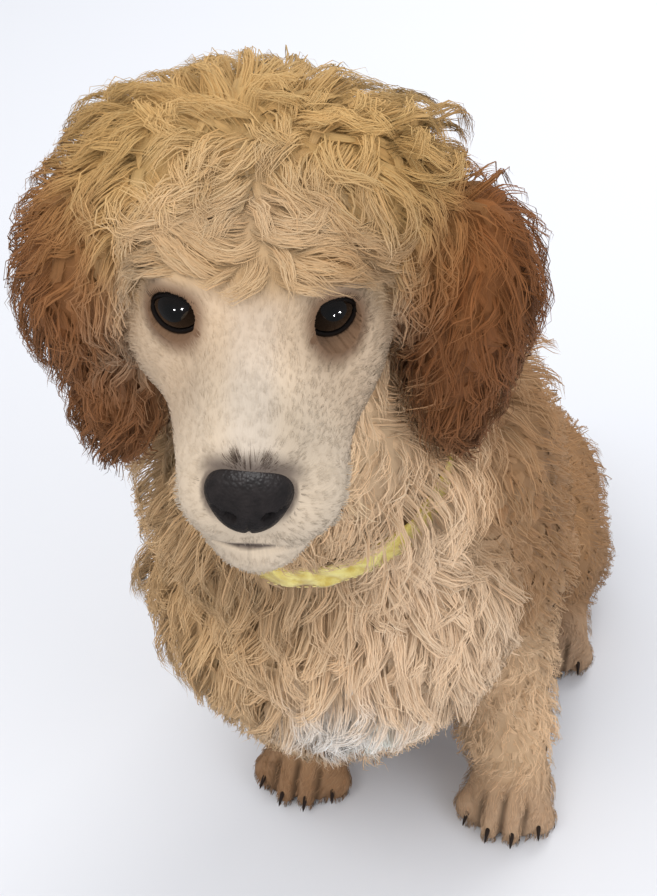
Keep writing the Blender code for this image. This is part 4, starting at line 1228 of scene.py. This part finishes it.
def strand_object(name, paths, radii, ups, tints, spots, sides, flatness, lines, softness):
    """Closed strands that taper to a tip, flat side out, each with its colours and its patch."""
    count, rings = len(paths), paths.shape[1] - 1
    flatness = np.broadcast_to(flatness, count)[:, None]
    lines = np.broadcast_to(lines, count)[:, None, None]
    along = unit(np.gradient(paths, axis=1))
    side = unit(np.cross(along[:, 0], ups[:, 0]) + 1e-6)
    per = sides * rings + 1
    places = np.empty((count, per, 3))
    facing = np.empty((count, per, 3))
    for k in range(rings):
        across = np.cross(along[:, k], ups[:, k])
        across *= np.where((across * side).sum(1, keepdims=True) < 0, -1.0, 1.0)
        side = unit(side + 2.0 * across)
        side = unit(side - along[:, k] * (side * along[:, k]).sum(1, keepdims=True))
        other = np.cross(along[:, k], side)
        for i in range(sides):
            angle = 2 * math.pi * i / sides
            spoke = math.cos(angle) * side + flatness * math.sin(angle) * other
            places[:, sides * k + i] = paths[:, k] + radii[:, [k]] * spoke
            facing[:, sides * k + i] = softness * ups[:, k] + unit(spoke)
    places[:, -1] = paths[:, -1]
    places[:, :, 2] = np.maximum(places[:, :, 2], FLOOR_GAP)
    facing[:, -1] = softness * ups[:, -1] + along[:, -1]
    loops = [0] + list(range(sides - 1, 0, -1))
    strips = [(i, 0) for i in loops]
    sizes = [sides]
    for k in range(rings):
        for i in range(sides):
            j = (i + 1) % sides
            low, high = sides * k, sides * (k + 1)
            if k < rings - 1:
                loops += [low + i, low + j, high + j, high + i]
                strips += [(i, k), (i + 1, k), (i + 1, k + 1), (i, k + 1)]
                sizes.append(4)
            else:
                loops += [low + i, low + j, high]
                strips += [(i, k), (i + 1, k), (i + 0.5, k + 1)]
                sizes.append(3)
    loops = np.array(loops)
    strips = np.array(strips) * (1.0 / sides, 1.0 / rings)
    strips = np.concatenate([strips[None, :, :1] * lines, np.repeat(strips[None, :, 1:], count, 0)], 2)
    mesh = bpy.data.meshes.new(name)
    mesh.vertices.add(count * per)
    mesh.vertices.foreach_set("co", places.ravel())
    mesh.loops.add(count * len(loops))
    mesh.loops.foreach_set("vertex_index", (loops[None] + per * np.arange(count)[:, None]).ravel())
    starts = np.concatenate([[0], np.cumsum(np.tile(sizes, count))[:-1]])
    mesh.polygons.add(len(starts))
    mesh.polygons.foreach_set("loop_start", starts)
    mesh.update(calc_edges=True)
    corner = np.arange(per)
    ring_of = corner // sides
    across = np.where(corner == per - 1, 0.5, (corner % sides) / (sides - 1)) - 0.5
    patch = PATCH * np.stack([across, ring_of / rings - 0.5], 1)[loops]
    unwrap = mesh.uv_layers.new(name="OFBake")
    unwrap.data.foreach_set("uv", (spots[:, None] + patch[None]).astype(np.float32).ravel())
    grain = mesh.uv_layers.new(name="Strand")
    apart = np.random.default_rng(count).uniform(0, 40, (count, 1, 2))
    grain.data.foreach_set("uv", (apart + strips).astype(np.float32).ravel())
    shade = np.ones((count, per, 4), np.float32)
    shade[:, :, :3] = tints[:, ring_of]
    colours = mesh.color_attributes.new("coat_tint", "FLOAT_COLOR", "POINT")
    colours.data.foreach_set("color", shade.ravel())
    mesh.shade_smooth()
    mesh.normals_split_custom_set_from_vertices(unit(facing).reshape(-1, 3))
    return add_object(name, mesh)


def unwrapped(points, middle, axis):
    """Places on a cylinder round the middle, opened out onto a square."""
    axis = np.array(Vector(axis).normalized())
    first = unit(np.cross(axis, np.array((0.31, 0.95, 0.02))))
    second = np.cross(axis, first)
    apart = points - middle
    turn = np.arctan2(apart @ second, apart @ first) / (2 * math.pi) + 0.5
    height = apart @ axis
    height = (height - height.min()) / max(np.ptp(height), 1e-6)
    return np.stack([0.02 + 0.96 * turn, 0.02 + 0.96 * height], 1)


def in_the_open(paths, margin):
    """Which strands pass clear of the eyes and of the open stretch of the collar."""
    spots = paths.reshape(-1, 3)
    local = seen_from_collar(spots)
    turn = np.arctan2(local[:, 1], local[:, 0])
    out = np.hypot(local[:, 0] / COLLAR_HALF_WIDTH, local[:, 1] / COLLAR_HALF_DEPTH)
    over = (np.abs(local[:, 2]) < 0.42 * COLLAR_BAND + margin) & (out > 0.85) & (out < 1.5)
    over &= (turn > CLEAR_SECTOR[0]) & (turn < CLEAR_SECTOR[1])
    for side in SIDES.values():
        local = seen_from_eye(spots, side)
        height = (local[:, 2] + LID_DROP - BROW_CLEAR) / (LID_HALF_HEIGHT + BROW_CLEAR)
        raised = np.hypot(local[:, 0] / LID_HALF_WIDTH, height)
        over_eye = (local[:, 1] > OVER_EYE[0]) & (local[:, 1] < OVER_EYE[1])
        over |= (raised < EYE_GUARD + margin / LID_HALF_WIDTH) & over_eye
    return ~over.reshape(len(paths), -1).any(1)


def tinted(paths, roots, shares, style, lock_tone, rng):
    """Colours along each strand, from the markings where it grows to those where it ends."""
    ends = paths[:, -1]
    start = markings(roots, coat_shares(roots)[0])
    end = markings(ends, coat_shares(ends)[0])
    tone = 1.0 + style["tone"] * (0.6 * lock_tone + 0.6 * rng.normal(size=len(paths)))
    hue = 1.0 + style["hue"] * rng.normal(size=(len(paths), 1)) * np.array((-0.4, 0.3, 1.0))
    # Painted shade darkens each strand towards its root, deep in the coat, and painted light lifts its tip.
    fade = ease(shares, 0.0, 0.65)[:, None]
    shade = np.array(style["root"]) * (1 - fade) + np.array(style["tip"]) * fade
    ground = start[:, None] + style["mix"] * (end - start)[:, None] * ease(shares, 0.1, 1.0)[:, None]
    return np.clip(ground * (tone[:, None] * hue)[:, None] * shade[None], DARKEST, PALEST)


def grow_coat(name, where, style, axis=(0, 0, 1)):
    """Two pieces of coat: locks combed over part of the skin, and the strands that lie on them."""
    rng = np.random.default_rng(SEED + len(name) + style["strands"])
    roots = strand_roots(where, style["strands"], rng)
    centres = spread_out(strand_roots(where, 6 * style["strands"] // 5, rng), style["spacing"])
    lines, ups = comb_locks(centres, style, rng)
    tree = KDTree(len(centres))
    for i, centre in enumerate(centres):
        tree.insert(centre, i)
    tree.balance()
    stirred = roots + rng.normal(size=roots.shape) * 0.12 * style["spacing"]
    lock = np.array([tree.find(spot)[1] for spot in stirred])
    count, steps = len(roots), style["rings"]
    shares = np.linspace(0, 1, steps + 1)
    lock_tone = rng.normal(size=len(centres))
    scale = rng.uniform(0.70, 1.0, count)
    stray = rng.random(count) < style["loose"]
    pull = np.where(stray, 0.25, style["pull"]) * rng.uniform(0.8, 1.1, count)
    offset = roots - centres[lock]
    phases = rng.uniform(0, 2 * math.pi, (count, 3))
    speed = rng.uniform(0.7, 1.9, (count, 3))
    frizz = style["frizz"] * np.where(stray, 2.4, 1.0)
    paths = np.empty((count, steps + 1, 3))
    facing = np.empty((count, steps + 1, 3))
    for k, share in enumerate(shares):
        at = scale * k
        low = np.minimum(at.astype(int), steps - 1)
        part = (at - low)[:, None]
        guide = lines[lock, low] * (1 - part) + lines[lock, low + 1] * part
        facing[:, k] = ups[lock, low] * (1 - part) + ups[lock, low + 1] * part
        hold = pull * min(1.0, share * 1.5) ** 0.8
        wobble = np.sin(phases + 2 * math.pi * speed * share) - np.sin(phases)
        paths[:, k] = guide + offset * (1 - hold)[:, None] + (frizz * share ** 0.7)[:, None] * wobble
    paths[:, 0] -= facing[:, 0] * ROOT_DEPTH
    free = in_the_open(paths, 0.0)
    roots, paths, facing, lock = roots[free], paths[free], facing[free], lock[free]
    girth = style["width"] / 2 * (0.75 + 0.25 * np.minimum(1, 3 * shares)) * (1 - 0.75 * shares**2.5)
    wisp = rng.random(len(roots)) < style["wisps"]
    widths = np.where(wisp, WISP_WIDTH, 1.0) * rng.uniform(0.75, 1.25, len(roots))
    radii = girth[None] * widths[:, None] * np.where(wisp[:, None], 1 - 0.45 * shares[None] ** 1.5, 1.0)
    tints = tinted(paths, roots, shares, style, lock_tone[lock], rng)
    spots = unwrapped(roots, roots.mean(0), axis)
    flatness = np.where(wisp, WISP_FLATNESS, FLATNESS)
    soft = style["softness"]
    pieces = [strand_object(name, paths, radii, facing, tints, spots, 3, flatness, widths, soft)]
    if style["body"] > 0:
        under = {**style, "spacing": 0.8 * style["spacing"], "lift": 0.5 * style["lift"]}
        centres = spread_out(strand_roots(where, 4 * style["strands"] // 5, rng), under["spacing"])
        lines, ups = comb_locks(centres, under, rng)
        lock_tone = rng.normal(size=len(centres))
        girth = style["body"] * under["spacing"] / 2
        girth = girth * (0.6 + 0.4 * np.sin(math.pi * np.minimum(0.5, 1.4 * shares)))
        radii = girth[None] * (1 - 0.9 * shares**2)[None] * rng.uniform(0.8, 1.2, len(centres))[:, None]
        paths = lines - ups * (BODY_FLATNESS * radii[:, :, None] + BODY_SINK * shares[None, :, None])
        paths[:, 0] -= ups[:, 0] * BODY_ROOT_DEPTH
        free = in_the_open(paths, 0.3 * style["body"] * under["spacing"])
        # The bodies lie deep under the strands, so their colours are darkened as painted shade.
        tints = tinted(paths, centres, shares, style, lock_tone, rng) * BODY_PAINTED_SHADE
        spots = unwrapped(centres, roots.mean(0), axis)
        made = strand_object(
            f"{name}_locks", paths[free], radii[free], ups[free], tints[free], spots[free],
            BODY_SIDES, BODY_FLATNESS, BODY_LINES, soft,
        )
        pieces.append(made)
    return pieces


def coat_finish(name, roughness, sheen, spread=0.5, shadow=SHADOW_SHARE):
    """Hair with its own tint, a fine streaky variation and a soft sheen."""
    lustre = {
        "Specular IOR Level": 0.25,
        "Sheen Weight": sheen,
        "Sheen Roughness": 0.45,
        "Sheen Tint": (1.0, 0.92, 0.80, 1.0),
    }
    made, shader = finish_of(name, COLOURS["torso"], roughness, lustre)
    tree = made.node_tree
    tint = new_node(tree, "ShaderNodeAttribute")
    tint.attribute_name = "coat_tint"
    streaks = new_node(tree, "ShaderNodeGroup")
    streaks.node_tree = HAIR_STREAKS
    set_inputs(streaks, {"Spread": spread})
    bump = new_node(tree, "ShaderNodeBump", {"Strength": 0.6, "Distance": 0.0002})
    rays = new_node(tree, "ShaderNodeLightPath")
    veil = new_node(tree, "ShaderNodeMapRange", {"To Min": 1.0, "To Max": shadow})
    join(
        tree,
        (tint, "Color", streaks, "Tint"),
        (streaks, "Colour", shader, "Base Color"),
        (streaks, "Roughness", shader, "Roughness"),
        (streaks, "Height", bump, "Height"),
        (bump, "Normal", shader, "Normal"),
        (rays, "Is Shadow Ray", veil, "Value"),
        (veil, "Result", shader, "Alpha"),
    )
    return made


def hair_streaks():
    """Node group: fine lines along each strand, as colour, roughness and height."""
    group = bpy.data.node_groups.new("Hair streaks", "ShaderNodeTree")
    face = group.interface
    face.new_socket("Tint", in_out="INPUT", socket_type="NodeSocketColor")
    for label, value in (("Lines", 3.0), ("Spread", 0.5)):
        face.new_socket(label, in_out="INPUT", socket_type="NodeSocketFloat").default_value = value
    face.new_socket("Colour", in_out="OUTPUT", socket_type="NodeSocketColor")
    for label in ("Roughness", "Height"):
        face.new_socket(label, in_out="OUTPUT", socket_type="NodeSocketFloat")
    given, put_out = new_node(group, "NodeGroupInput"), new_node(group, "NodeGroupOutput")
    place = new_node(group, "ShaderNodeUVMap")
    place.uv_map = "Strand"
    stretch = new_node(group, "ShaderNodeCombineXYZ", {"Y": 1.5, "Z": 1.0})
    drawn = new_node(group, "ShaderNodeVectorMath")
    drawn.operation = "MULTIPLY"
    noise = new_node(group, "ShaderNodeTexNoise", {"Scale": 1.0, "Detail": 2.0})
    noise.noise_dimensions = "2D"
    centred = new_node(group, "ShaderNodeMath", {1: 0.5})
    centred.operation = "SUBTRACT"
    value = new_node(group, "ShaderNodeMath", {2: 1.0})
    value.operation = "MULTIPLY_ADD"
    shade = new_node(group, "ShaderNodeVectorMath")
    shade.operation = "SCALE"
    rough = new_node(group, "ShaderNodeMapRange", {"To Min": 0.55, "To Max": 0.80})
    join(
        group,
        (given, "Lines", stretch, "X"),
        (place, "UV", drawn, 0),
        (stretch, "Vector", drawn, 1),
        (drawn, "Vector", noise, "Vector"),
        (noise, "Fac", centred, 0),
        (centred, 0, value, 0),
        (given, "Spread", value, 1),
        (given, "Tint", shade, 0),
        (value, 0, shade, "Scale"),
        (shade, "Vector", put_out, "Colour"),
        (noise, "Fac", rough, "Value"),
        (rough, "Result", put_out, "Roughness"),
        (noise, "Fac", put_out, "Height"),
    )
    return group


def region_is(*names):
    return np.isin(SKIN_REGIONS, [REGIONS.index(name) for name in names])


HAIR_STREAKS = hair_streaks()
face_wool = coat_finish("face_wool", 0.7, 0.06)
plush_wool = coat_finish("plush_wool", 0.7, 0.06, 0.15, 0.12)
ear_wool = coat_finish("ear_wool", 0.6, 0.04)
body_wool = coat_finish("body_wool", 0.7, 0.06)
paw_wool = coat_finish("paw_wool", 0.7, 0.05)
HEAD_SIDE = np.sign(HEAD_MIDDLES[:, 0])
TOPKNOT_STYLE = {
    # how many strands and rings of each, how far apart locks grow, and a strand's length and width
    "strands": 4300, "rings": 5, "spacing": 0.0065, "length": 0.026, "width": 0.00046,
    # how far locks rise through the coat, the least of them, and the least depth of coat
    "lift": 0.95, "low": 0.7, "least": 0.0,
    # how locks turn from the lie: bent along their length, each by chance, and in broad swirls
    "bend": 2.2, "stray": 0.25, "swirl": 1.1, "brow_from": BROW_FROM,
    # the curl's radius and turns, and the height and length of waves down the hair
    "curl": 0.0022, "turns": 1.0, "wave": 0.0, "wave_length": 0.015,
    # how strands gather to a lock's middle, their own frizz, and the share that stray from it
    "pull": 0.35, "frizz": 0.0008, "loose": 0.12,
    # the share of strands that are wide wisps, and the width of locks' solid bodies, 0 for none
    "wisps": 0.35, "body": 1.1,
    # above this height hair is full, and hair that hangs free keeps this share of its length
    "hem": -1.0, "fall": 0.6,
    # how far colours differ by chance, how much of the markings at its end a strand takes on, and
    # the painted shade that darkens it at its root, deep in the coat, and the painted light at its tip
    "tone": 0.045, "hue": 0.035, "mix": 1.0, "root": (0.92, 0.89, 0.86), "tip": (1.03, 1.03, 1.04),
    # how far a strand is shaded as part of the coat's smooth surface
    "softness": 3.2,
}
for label, side in SIDES.items():
    crown = grow_coat(f"topknot_{label}", region_is("topknot") & (HEAD_SIDE == side), TOPKNOT_STYLE)
    wear(crown, body_wool, "body_coat", "head")

# ---- Fringe ----
# Softer, paler locks that fall from the front of the topknot, part in the middle of the
# forehead and sweep out over both brows.
FRINGE_STYLE = {
    **TOPKNOT_STYLE, "strands": 2500, "spacing": 0.0055, "length": 0.023, "width": 0.00042,
    "lift": 1.0, "least": 0.0060, "bend": 1.1, "swirl": 0.35, "curl": 0.0014, "pull": 0.45,
    "frizz": 0.0006, "body": 0.0, "mix": 0.25,
}
FRINGE_LOW = 0.0250  # the fringe grows from this height up, and higher at its parting
PARTING_WIDTH = 0.010
PARTING_RISE = 0.007
FRINGE_BACK = 0.02
parting = ease(PARTING_WIDTH - np.abs(HEAD_MIDDLES[:, 0]), 0.0, PARTING_WIDTH)
ON_FRINGE = region_is("face") & (HEAD_MIDDLES[:, 2] > FRINGE_LOW + PARTING_RISE * parting)
ON_FRINGE &= HEAD_MIDDLES[:, 1] < FRINGE_BACK
fringe = grow_coat("fringe", ON_FRINGE, FRINGE_STYLE)
wear(fringe, face_wool, "face_coat", "head")

# ---- Coat of the ears ----
# Long wavy hair hangs from each ear flap past its lower edge, redder and darker than the rest.
# It roots on both faces of the flap, so that the thin flap itself never shows.
EAR_STYLE = {
    **TOPKNOT_STYLE, "strands": 2300, "spacing": 0.006, "width": 0.0005, "lift": 0.9,
    "bend": 0.8, "stray": 0.22, "swirl": 0.45, "curl": 0.0024, "turns": 1.5,
    "wave": 0.0024, "wave_length": 0.014, "pull": 0.45, "fall": 0.45, "tone": 0.065,
}
EAR_LENGTHS = {-1: 0.026, 1: 0.031}  # the right ear is turned back, and its hair hangs shorter
for label, side in SIDES.items():
    hanging = {**EAR_STYLE, "length": EAR_LENGTHS[side]}
    flap = grow_coat(f"ear_hair_{label}", region_is("ear") & (HEAD_SIDE == side), hanging)
    wear(flap, ear_wool, "ear_coat", f"ear_{label}")

# ---- Coat of the neck and chest ----
# The bib: the deepest wool on the body, in loose clumps of curls that hang down the breast. Up
# the neck it grows shorter, and the collar lies in it.
NECK_STYLE = {
    **TOPKNOT_STYLE, "strands": 2000, "rings": 4, "spacing": 0.0075, "length": 0.020,
    "width": 0.0005, "lift": 0.9, "bend": 1.0, "curl": 0.0018, "turns": 0.9,
}
BIB_STYLE = {
    **TOPKNOT_STYLE, "strands": 5600, "rings": 4, "spacing": 0.0085, "length": 0.030,
    "width": 0.0005, "lift": 0.92, "bend": 1.2, "stray": 0.22, "swirl": 0.55, "curl": 0.0026,
    "turns": 0.8, "pull": 0.5, "tone": 0.032, "hem": 0.145,
}
SPINE_AT = -0.040  # where the chest's and the back's left and right pieces meet
wear(grow_coat("neck_coat", region_is("neck"), NECK_STYLE), body_wool, "body_coat", "neck")
SIDE_OF_BACK = np.sign(SKIN_MIDDLES[:, 0] + MIDDLE.x - SPINE_AT)
for label, side in SIDES.items():
    bib = grow_coat(f"bib_{label}", region_is("chest") & (SIDE_OF_BACK == side), BIB_STYLE)
    wear(bib, body_wool, "body_coat", "torso")

# ---- Ruff ----
# Longer hair from just above the collar that hides all of it but the stretch under the chin. It
# roots in the skin of the neck and hangs over the ribbon. The throat's own hair is short.
RUFF_STYLE = {
    **BIB_STYLE, "strands": 2000, "spacing": 0.007, "lift": 1.0, "low": 0.95, "least": 0.021,
    "stray": 0.18, "swirl": 0.3, "body": 0.0, "hem": -1.0,
}
THROAT_STYLE = {
    **NECK_STYLE, "strands": 1100, "rings": 3, "length": 0.010, "least": 0.003, "body": 0.0,
    "wisps": 0.1,
}
COLLAR_REACH = 0.085
RUFF_UP, RUFF_HALF_BAND = 0.009, 0.013  # the band of skin it roots in, from the collar's middle
THROAT_UP, THROAT_HALF_BAND = 0.022, 0.014
OVERLAP = 0.05
local = seen_from_collar(SKIN_MIDDLES)
around = np.arctan2(local[:, 1], local[:, 0])
round_neck = np.hypot(local[:, 0], local[:, 1]) < COLLAR_REACH
hidden = (around < CLEAR_SECTOR[0] - OVERLAP) | (around > CLEAR_SECTOR[1] + OVERLAP)
above_collar = (np.abs(local[:, 2] - RUFF_UP) < RUFF_HALF_BAND) & round_neck
ruff = grow_coat("ruff", hidden & above_collar, RUFF_STYLE)
wear(ruff, body_wool, "body_coat", "neck")
on_throat = (np.abs(local[:, 2] - THROAT_UP) < THROAT_HALF_BAND) & round_neck
throat = grow_coat("throat", ~hidden & on_throat, THROAT_STYLE)
wear(throat, body_wool, "body_coat", "neck")

# ---- Coat of the back and flanks ----
# Denser, darker wool over the ribs, back and rump, with the same curls set closer to the skin.
# It runs on along the whole of the tail, which is undocked and bushy.
BACK_STYLE = {
    **BIB_STYLE, "strands": 4200, "spacing": 0.0075, "length": 0.0150, "lift": 0.74, "low": 0.85,
    "bend": 0.45, "stray": 0.12, "swirl": 0.30, "curl": 0.0008, "hem": -1.0,
}
TAIL_STYLE = {**BACK_STYLE, "strands": 1400, "spacing": 0.008}
for label, side in SIDES.items():
    flank = grow_coat(f"flank_{label}", region_is("torso") & (SIDE_OF_BACK == side), BACK_STYLE)
    wear(flank, body_wool, "body_coat", "torso")
tail_coat = grow_coat("tail_coat", region_is("tail"), TAIL_STYLE, (0, 1, 0))
wear(tail_coat, body_wool, "body_coat", "tail")

# ---- Coat of the legs ----
# Shorter wool that stands off the bone in small curls, down to the feet. The toes have fur of a
# few millimetres that lies flat and leaves the roots of the claws free.
TOES_FROM = 0.005  # the short fur of the toes begins this far ahead of the middle of a paw
NAIL_CLEAR = 0.0036  # round the root of each claw no hair grows
NAIL_UP = 0.0022  # a claw's root above the middle of its toe's end
NAIL_SUNK = 0.0030  # and how far it starts inside the toe
LEG_STYLE = {
    **BACK_STYLE, "strands": 2500, "rings": 3, "spacing": 0.005, "length": 0.011,
    "width": 0.00045, "lift": 0.95, "low": 0.7, "bend": 1.6, "stray": 0.22, "swirl": 0.55,
    "curl": 0.0014, "wisps": 0.2, "body": 0.8,
}
PAW_STYLE = {
    **LEG_STYLE, "strands": 1100, "spacing": 0.004, "length": 0.0060, "width": 0.00042,
    "lift": 1.0, "bend": 0.8, "stray": 0.2, "swirl": 0.3, "curl": 0.0006, "frizz": 0.0003,
    "pull": 0.3, "wisps": 0.0, "body": 0.0,
}
FORE_END = 0.095  # what lies ahead of this belongs to the forelegs
BODY_SIDE = np.sign(SKIN_MIDDLES[:, 0] + MIDDLE.x)
IN_FRONT = SKIN_MIDDLES[:, 1] + MIDDLE.y < FORE_END
ON_TOES = region_is("paw") & (toe_gap(SKIN_MIDDLES) < 0.5)
for paws, leg, here in ((FORE_PAWS, "foreleg", IN_FRONT), (HIND_PAWS, "hindleg", ~IN_FRONT)):
    for side in SIDES.values():
        above = region_is("paw") & here & (BODY_SIDE == side)
        above &= SKIN_MIDDLES[:, 1] + MIDDLE.y > paws[side][1] - TOES_FROM
        SKIN_REGIONS[above] = REGIONS.index(leg)
        ON_TOES &= ~above
        for ball in toe_balls(paws[side]):
            nail_root = ball - MIDDLE + Vector((0, NAIL_SUNK - TOE_RADIUS, NAIL_UP))
            ON_TOES &= np.linalg.norm(SKIN_MIDDLES - np.array(nail_root), axis=1) > NAIL_CLEAR
for label, side in SIDES.items():
    here = BODY_SIDE == side
    foreleg = grow_coat(f"foreleg_coat_{label}", region_is("foreleg") & here, LEG_STYLE)
    wear(foreleg, body_wool, "body_coat", f"foreleg_{label}")
    hindleg = grow_coat(f"hindleg_coat_{label}", region_is("hindleg") & here, LEG_STYLE)
    wear(hindleg, body_wool, "body_coat", f"hindleg_{label}")
    forepaw = grow_coat(f"forepaw_coat_{label}", ON_TOES & here & IN_FRONT, PAW_STYLE)
    wear(forepaw, paw_wool, "paw_coat", f"forepaw_{label}")
    hindpaw = grow_coat(f"hindpaw_coat_{label}", ON_TOES & here & ~IN_FRONT, PAW_STYLE)
    wear(hindpaw, paw_wool, "paw_coat", f"hindpaw_{label}")

# ---- Claws ----
# Dark, smooth horn, one on each toe: narrow, curved and pointed. It grows from the end of the
# toe, with its root in the fur.
CLAW_RADIUS = 0.0021
CLAW_LENGTH = 0.0093
CLAW_DROP = 0.0041
spots, aims, claw_nodes = [], [], []
for label, paws in (("fore", FORE_PAWS), ("hind", HIND_PAWS)):
    for name, side in SIDES.items():
        for i, ball in enumerate(toe_balls(paws[side])):
            ahead = Vector((0.12 * (i - 1.5), -1.0, 0.0)).normalized()
            spots.append(ball - MIDDLE + ahead * (TOE_RADIUS - NAIL_SUNK) + Vector((0, 0, NAIL_UP)))
            aims.append(ahead)
            claw_nodes.append(f"claw_{label}_{name}_{i + 1}")
horn, _ = finish_of("dark_horn", (0.022, 0.014, 0.011), 0.32, {"Coat Weight": 0.3})
nail = spike("nail", CLAW_RADIUS, CLAW_LENGTH, CLAW_DROP, 10, 8, 0.75)
leans, sizes = [(0, 0, 1)] * len(spots), [1.0] * len(spots)
claws = scatter("claws", nail, spots, aims, leans, sizes, horn, 0.1, 2)
wear(claws, horn, "claw_horn", *claw_nodes)

# ---- Coat of the face ----
# Clipped plush: hairs a few millimetres long that lie back from the nose, with none on the
# lids or the nose itself.
FACE_STYLE = {
    **PAW_STYLE, "strands": 10000, "rings": 2, "length": 0.0048, "lift": 0.5, "bend": 0.2,
    "stray": 0.12, "swirl": 0.12, "brow_from": 0.032, "curl": 0.0, "pull": 0.2, "frizz": 0.0001,
    "tone": 0.02, "hue": 0.01, "root": (1.0, 1.0, 1.0), "tip": (1.0, 1.0, 1.0), "softness": 9.0,
}
LIDS_BARE = 1.14  # as far out from the lids' opening as this share, and this near the nose
NOSE_BARE = 0.0004
MOUTH_BARE_UP = -0.0395  # and the hairless line of the mouth, with half of its size
MOUTH_BARE_WIDTH = 0.012
MOUTH_BARE_HEIGHT = 0.003
LIPS_AHEAD = -0.1
bare = blended_gap(SKIN_MIDDLES, NOSE_FLESH, 0.0) < NOSE_BARE
for side in SIDES.values():
    local = seen_from_eye(SKIN_MIDDLES, side)
    bare |= (lid_share(local) < LIDS_BARE) & (local[:, 1] < EYE_FRONT)
at_mouth = np.abs(HEAD_MIDDLES[:, 2] - MOUTH_BARE_UP) < MOUTH_BARE_HEIGHT
at_mouth &= np.abs(HEAD_MIDDLES[:, 0]) < MOUTH_BARE_WIDTH
bare |= at_mouth & (HEAD_MIDDLES[:, 1] < LIPS_AHEAD)
plush = grow_coat("face_plush", region_is("face") & ~bare & ~ON_FRINGE, FACE_STYLE, (0, 1, 0))
wear(plush, plush_wool, "face_coat", "head")

NOSE_HAIRS = 190
NOSE_HAIR_LENGTH = 0.0075
NOSE_HAIR_RADIUS = 0.00009
NOSE_HAIR_BEND = 0.0012
NOSE_HAIRS_HALF_WIDTH = 0.0085
rng = np.random.default_rng(31)
beyond = blended_gap(SKIN_PLACES, NOSE_FLESH, 0.0)
local = in_head(SKIN_PLACES)
edge = (beyond > 0.0003) & (beyond < 0.0040) & (local[:, 2] > -0.014)
edge &= (np.abs(local[:, 0]) < NOSE_HAIRS_HALF_WIDTH) & (local[:, 1] < -0.095)
picks = rng.choice(np.where(edge)[0], NOSE_HAIRS)
normals = normals_at(SKIN_PLACES[picks])
_, lies = lie_at(SKIN_PLACES[picks], normals, coat_shares(SKIN_PLACES[picks])[0])
aims = unit(lies + 0.22 * normals + 0.14 * rng.normal(size=lies.shape))
hair_finish, _ = finish_of("nose_hair", (0.17, 0.12, 0.09), 0.7)
sizes = 1.0 - 0.7 * np.abs(local[picks, 0]) / NOSE_HAIRS_HALF_WIDTH
hair = spike("nose_hair", NOSE_HAIR_RADIUS, NOSE_HAIR_LENGTH, NOSE_HAIR_BEND, 3, 3)
nose_hairs = scatter("nose_hairs", hair, SKIN_PLACES[picks], aims, normals, sizes, hair_finish, 0.5, 7)
wear(nose_hairs, hair_finish, "face_coat", "head")

# ---- Skin's finish ----
# The skin shows only between the strands and under the shortest fur, so it has the same
# markings, darkened off the face as painted shade for the depth under the coat, and a fine lying-hair grain.
STREAKS_AROUND = 16.0
STREAK_LENGTH = 0.006
# painted shade: the share of the coat's colour that the skin keeps under the coat; on the face it keeps all
# of it
UNDER_COAT_PAINTED_SHADE = 0.80
shares, _ = coat_shares(SKIN_PLACES)
shade = UNDER_COAT_PAINTED_SHADE + (1.0 - UNDER_COAT_PAINTED_SHADE) * shares[:, [0]]
tint_points(skin, "coat_tint", np.clip(markings(SKIN_PLACES, shares) * shade, DARKEST, PALEST))
local = in_head(SKIN_PLACES)
around = np.arctan2(local[:, 0], local[:, 2] + 0.016) * STREAKS_AROUND
grain = np.stack([around, local[:, 1] / STREAK_LENGTH], 1)
corner = np.empty(len(skin.data.loops), int)
skin.data.loops.foreach_get("vertex_index", corner)
lying = skin.data.uv_layers.new(name="Strand")
lying.data.foreach_set("uv", grain[corner].astype(np.float32).ravel())
skin_finish = coat_finish("skin_wool", 0.8, 0.03, 0.15, 1.0)
wear(skin, skin_finish, "body_coat", *FLESH_NODES)
